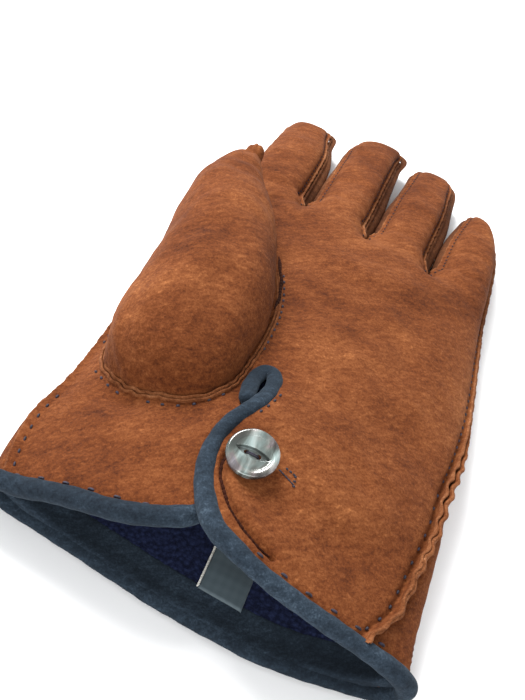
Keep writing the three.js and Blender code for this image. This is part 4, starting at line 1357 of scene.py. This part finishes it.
def button_face(sides=160):
    """The button on its own axis: a turned profile, with the eye and the holes sunk into its face."""
    profile = smooth_line([(r, z, 0) for r, z in BUTTON_PROFILE], 0.12)[:, :2]
    angle = np.linspace(0, 2 * math.pi, sides, endpoint=False)
    r = 0.95 * profile[:, :1]
    height = np.broadcast_to(profile[:, 1:], (len(profile), sides))
    points = np.stack([r * np.cos(angle), r * np.sin(angle), height], axis=2)
    turn = EYE["turn"]
    u = points[:, :, 0] * math.cos(turn) + points[:, :, 1] * math.sin(turn)
    v = -points[:, :, 0] * math.sin(turn) + points[:, :, 1] * math.cos(turn)
    out = (u / EYE["half"]) ** 2
    lens = np.abs(v) / EYE["across"] / np.maximum(1 - out, 1e-3) ** 0.9
    face = points[:, :, 2] > 1.7
    rim = 0.12 * np.exp(-(((lens - 1.15) / 0.15) ** 2)) * (np.abs(u) < EYE["half"]) * (1 - 0.45 * out)
    sunk = EYE["deep"] * (1 - eased(0.6, 1.0, lens)) - rim
    for centre in (-1.7, 1.7):
        hole = np.hypot(u - centre, v)
        sunk = np.maximum(sunk, 0.1 + 1.9 * (1 - eased(0.55, 0.8, hole)))
    sunk = np.where(face & (np.hypot(u, v) < EYE["half"] + 0.2), sunk, 0)
    points[:, :, 2] -= sunk
    # slot 1 is the eye's groove, matte shell with painted shade; slot 2 is the floor of each hole, dark suede as
    # painted shade
    return points, np.where(sunk[:-1] > 1.4, 2, np.where(sunk[:-1] > 0.3, 1, 0))


def on_button(points):
    """From the button's own axis to its place: tilted toward the cuff, on its thread."""
    tilt = math.radians(BUTTON["tilt"])
    x, y, z = np.moveaxis(points, -1, 0)
    y, z = y * math.cos(tilt) - z * math.sin(tilt), y * math.sin(tilt) + z * math.cos(tilt)
    base = float(palm_height(BUTTON["x"], BUTTON["y"], 1)[0]) + BUTTON["lift"]
    return np.stack([x + BUTTON["x"], y + BUTTON["y"], z + base], axis=-1)


points, marks = button_face()
button_piece = Piece("pearl_button", "button").grid(on_button(points), marks, closed=True)
# the second and third materials carry painted shade: the dimmed shell of the eye, and dark suede in the holes
button_piece.make([pearl("mother of pearl"), pearl("matte shell in the eye with painted shade", 0.5, 0.45), suede_with_painted_shade], "pearl_shell")

# %% [markdown]
# The button stands off the leather on a shank of wound thread, and two strands of the same thread cross
# from hole to hole in the eye. The winding is a helix, drawn as a thin tube round a plain core.

# %% The thread of the button
def upright(radius, low, high, turns, count):
    """A line up the button's axis, wound round it where it has turns."""
    t = np.linspace(0, 1, count)
    angle = 2 * math.pi * turns * t
    line = np.c_[radius * np.cos(angle), radius * np.sin(angle), low + (high - low) * t]
    return line + (BUTTON["x"], BUTTON["y"], 0)


shank_foot = float(palm_height(BUTTON["x"], BUTTON["y"], 0)[0]) + 0.3
shank_head = float(palm_height(BUTTON["x"], BUTTON["y"], 1)[0]) + BUTTON["lift"] - 0.3
shank_piece = Piece("button_thread", "button_shank")
shank_piece.grid(tube(upright(1.15, shank_foot, shank_head, 7, 126), 0.34, 8), closed=True)
shank_piece.grid(round_end(tube(upright(0, shank_foot, shank_head, 0, 6), 1.0, 14)), closed=True)
ends = np.linspace(-1.8, 1.8, 14)
sag = 1.18 - 0.8 * (np.abs(ends) / 1.8) ** 4
for offset in (-0.2, 0.2):
    strand = np.stack([*turned_round(ends, offset), sag], axis=1)
    shank_piece.grid(tube(on_button(strand), 0.18, 8), closed=True)
shank_piece.make([navy_thread], "button_thread")

# %% [markdown]
# All the stitches go in together, once every piece that they sit on is made. Those of the seams were placed
# with their panels. The binding is held by longer stitches, whose dark ends bite into the suede along the
# roll's upper edge, one every 7 to 8 mm.

# %% Stitches
stitch_piece = Piece("stitches")
for row in stitch_rows:
    bars(stitch_piece, *row)


def on_palm(line, lifted, step=0.5, off=0.0):
    """A smooth line laid on the palm, or so far above it."""
    x, y = smooth_line(line, step).T
    return np.c_[x, y, palm_height(x, y, lifted) + off]


LOOSE_STITCHES = [  # lifted or not, first place, step, length, radius, and the line in plan
    (0, 2, 7.4, 2.2, 0.36, [(-55, 4.8), (-42, 4.5), (-34, 4.0), (-25.6, 3.6), (-18, 4.4), (-12, 6.6)]),  # left cuff
    (1, 1, 7.6, 2.2, 0.36, [(12, 1.9), (19, 0.6), (27, 0.2), (35.5, 0.4), (42.5, 0.8), (50, 1.4)]),  # right cuff
    (1, 0, 3.5, 1.3, 0.34, [(0.3, 52.5), (-0.7, 47.5), (-2.8, 41)]),  # the vent's top
    (0, 1, 3.3, 1.1, 0.36, [(-10.3, 70), (-10.4, 80), (-11.2, 90), (-13.6, 101), (-17, 111)]),  # the thumb's seam
    (0, 3, 4.4, 1.2, 0.34, [(-35, 38.2), (-26, 38.4), (-19.4, 41.4), (-14, 47)]),
    (0, 0, 4.2, 1.2, 0.36, [(-52, 47.5), (-46, 42.2), (-39, 39.0)]),
    (1, 0, 1.1, 1.3, 0.2, [(9.0, 26.9), (13.2, 25.4)]),  # the buttonhole, the last row across its end
    (1, 0, 1.2, 0.9, 0.26, [(10.4, 28.4), (13.0, 27.8)]),
    (1, 0, 1.4, 0.9, 0.3, [(13.2, 27.6), (13.9, 24.2)]),
]
for lifted, start, step, length, radius, line in LOOSE_STITCHES:
    places, along = stepped(on_palm(line, lifted), step, start)
    if line == LOOSE_STITCHES[-1][-1]:
        along = np.cross(along, UP)
    bars(stitch_piece, places, along, length, radius)
stitch_piece.make([navy_thread], "button_thread")

# %% [markdown]
# Two folds are pinched so tight that their floors lie in deep shade: the furrow beside the vent's roll, where
# hidden stitches pull the flap down, and the slit beside the thumb. That shade is painted: short lengths of
# very dark suede overlap along the bottom of each fold.

# %% Painted shade in the tight folds
FURROW = [(-5.2, 25.6), (-5.3, 21.4), (-3.9, 17.4), (-1.6, 13.9), (1.5, 10.3), (6.7, 6.4), (12.2, 4.2), (14.6, 3.6)]
SLIT = [(-21.2, 119.5), (-18.0, 111), (-15.6, 104), (-14.3, 98), (-13.6, 91)]
painted_fold_shade = Piece("painted_shade_in_folds")
for line, lifted, off in ((FURROW, 1, 0.8), (SLIT, 0, 0.4)):
    places, along = stepped(on_palm(line, lifted, 0.4, off), 1.5)
    k = np.arange(len(places))
    places[:, 0] += 0.14 * np.sin(0.9 * k)
    tapered = np.clip(np.minimum(k + 1, len(k) - k) / 3, 0.4, 1)
    thickness = 0.62 * (0.9 + 0.14 * np.sin(0.8 * k) + 0.06 * np.sin(2.1 * k)) * tapered
    bars(painted_fold_shade, places, along, 2.4, thickness, sink=0.6)
painted_fold_shade.make([fold_shade_suede], "rust_suede")

# %% [markdown]
# The stage is a plain pale floor under soft studio light: a wide key from above the thumb's side of the
# fingers, a fill from the cuff side and a pale sky, so that shadows stay soft and the suede shows its own
# colour.

# %% Floor and light
def stood(name, data):
    """An object in the scene with this data."""
    made = bpy.data.objects.new(name, data)
    bpy.context.collection.objects.link(made)
    return made


FLOOR_HALF, FLOOR_Z = 3.0, -0.0004  # metres; just under the binding, which sags a little below the origin
floor_mesh = bpy.data.meshes.new("floor")
corners = [(x * FLOOR_HALF, y * FLOOR_HALF, FLOOR_Z) for x, y in ((-1, -1), (1, -1), (1, 1), (-1, 1))]
floor_mesh.from_pydata(corners, [], [(0, 1, 2, 3)])
floor_mesh.materials.append(new_material("white studio floor", {
    "Roughness": 0.8, "IOR": 1.5, "Base Color": linear("#F6F6F6"), "Specular IOR Level": 0.1,
})[0])
floor = stood("floor", floor_mesh)

world = bpy.data.worlds.new("pale sky")
bpy.context.scene.world = world
world.use_nodes = True
sky, background = world.node_tree, world.node_tree.nodes["Background"]
direction = node(sky, "ShaderNodeTexCoord").outputs["Generated"]
height = node(sky, "ShaderNodeSeparateXYZ", links={0: direction}).outputs["Z"]
sky.links.new(colour_steps(sky, height, [(0.05, "#C4C8CC"), (0.6, "#F8FAFC")]), background.inputs["Color"])
background.inputs["Strength"].default_value = 0.8
bpy.context.scene.view_settings.view_transform = "Standard"

SOFT_BOXES = [  # name, place, aim, width and height in metres, watts
    ("key light", (-0.5, 0.45, 0.8), (0, 0, 0.02), 0.5, 0.5, 22),
    ("fill light", (0.1, -0.9, 0.55), (0, -0.05, 0.02), 0.9, 0.6, 8),
]
for name, place, aim, width, height, watts in SOFT_BOXES:
    light = bpy.data.lights.new(name, "AREA")
    light.shape, light.size, light.size_y, light.energy = "RECTANGLE", width, height, watts
    box = stood(name, light)
    box.location = place
    box.rotation_euler = (Vector(aim) - Vector(place)).to_track_quat("-Z", "Y").to_euler()

# %% [markdown]
# The camera stands where the photograph was taken, worked out from the glove's size in it: about 27 cm from
# the palm, 41 degrees above the surface and rolled a little.

# %% The camera
PHOTO_HEIGHT, FOCAL_LENGTH = 700, 1000  # pixels
camera_data = bpy.data.cameras.new("camera")
camera_data.sensor_fit, camera_data.sensor_height, camera_data.sensor_width = "VERTICAL", 36, 27
camera_data.lens = camera_data.sensor_height * FOCAL_LENGTH / PHOTO_HEIGHT
camera_data.clip_start, camera_data.clip_end = 0.01, 20
camera = stood("camera", camera_data)
right = Vector((0.91842, 0.32111, 0.23106))
down = Vector((0.38344, -0.57883, -0.71967))
forward = Vector((-0.09735, 0.74956, -0.65474))
turn = Matrix((right, -down, -forward)).transposed().to_4x4()
camera.matrix_world = Matrix.Translation(Vector(to_frame((17.98, -150.21, 223.62)))) @ turn
bpy.context.scene.camera = camera
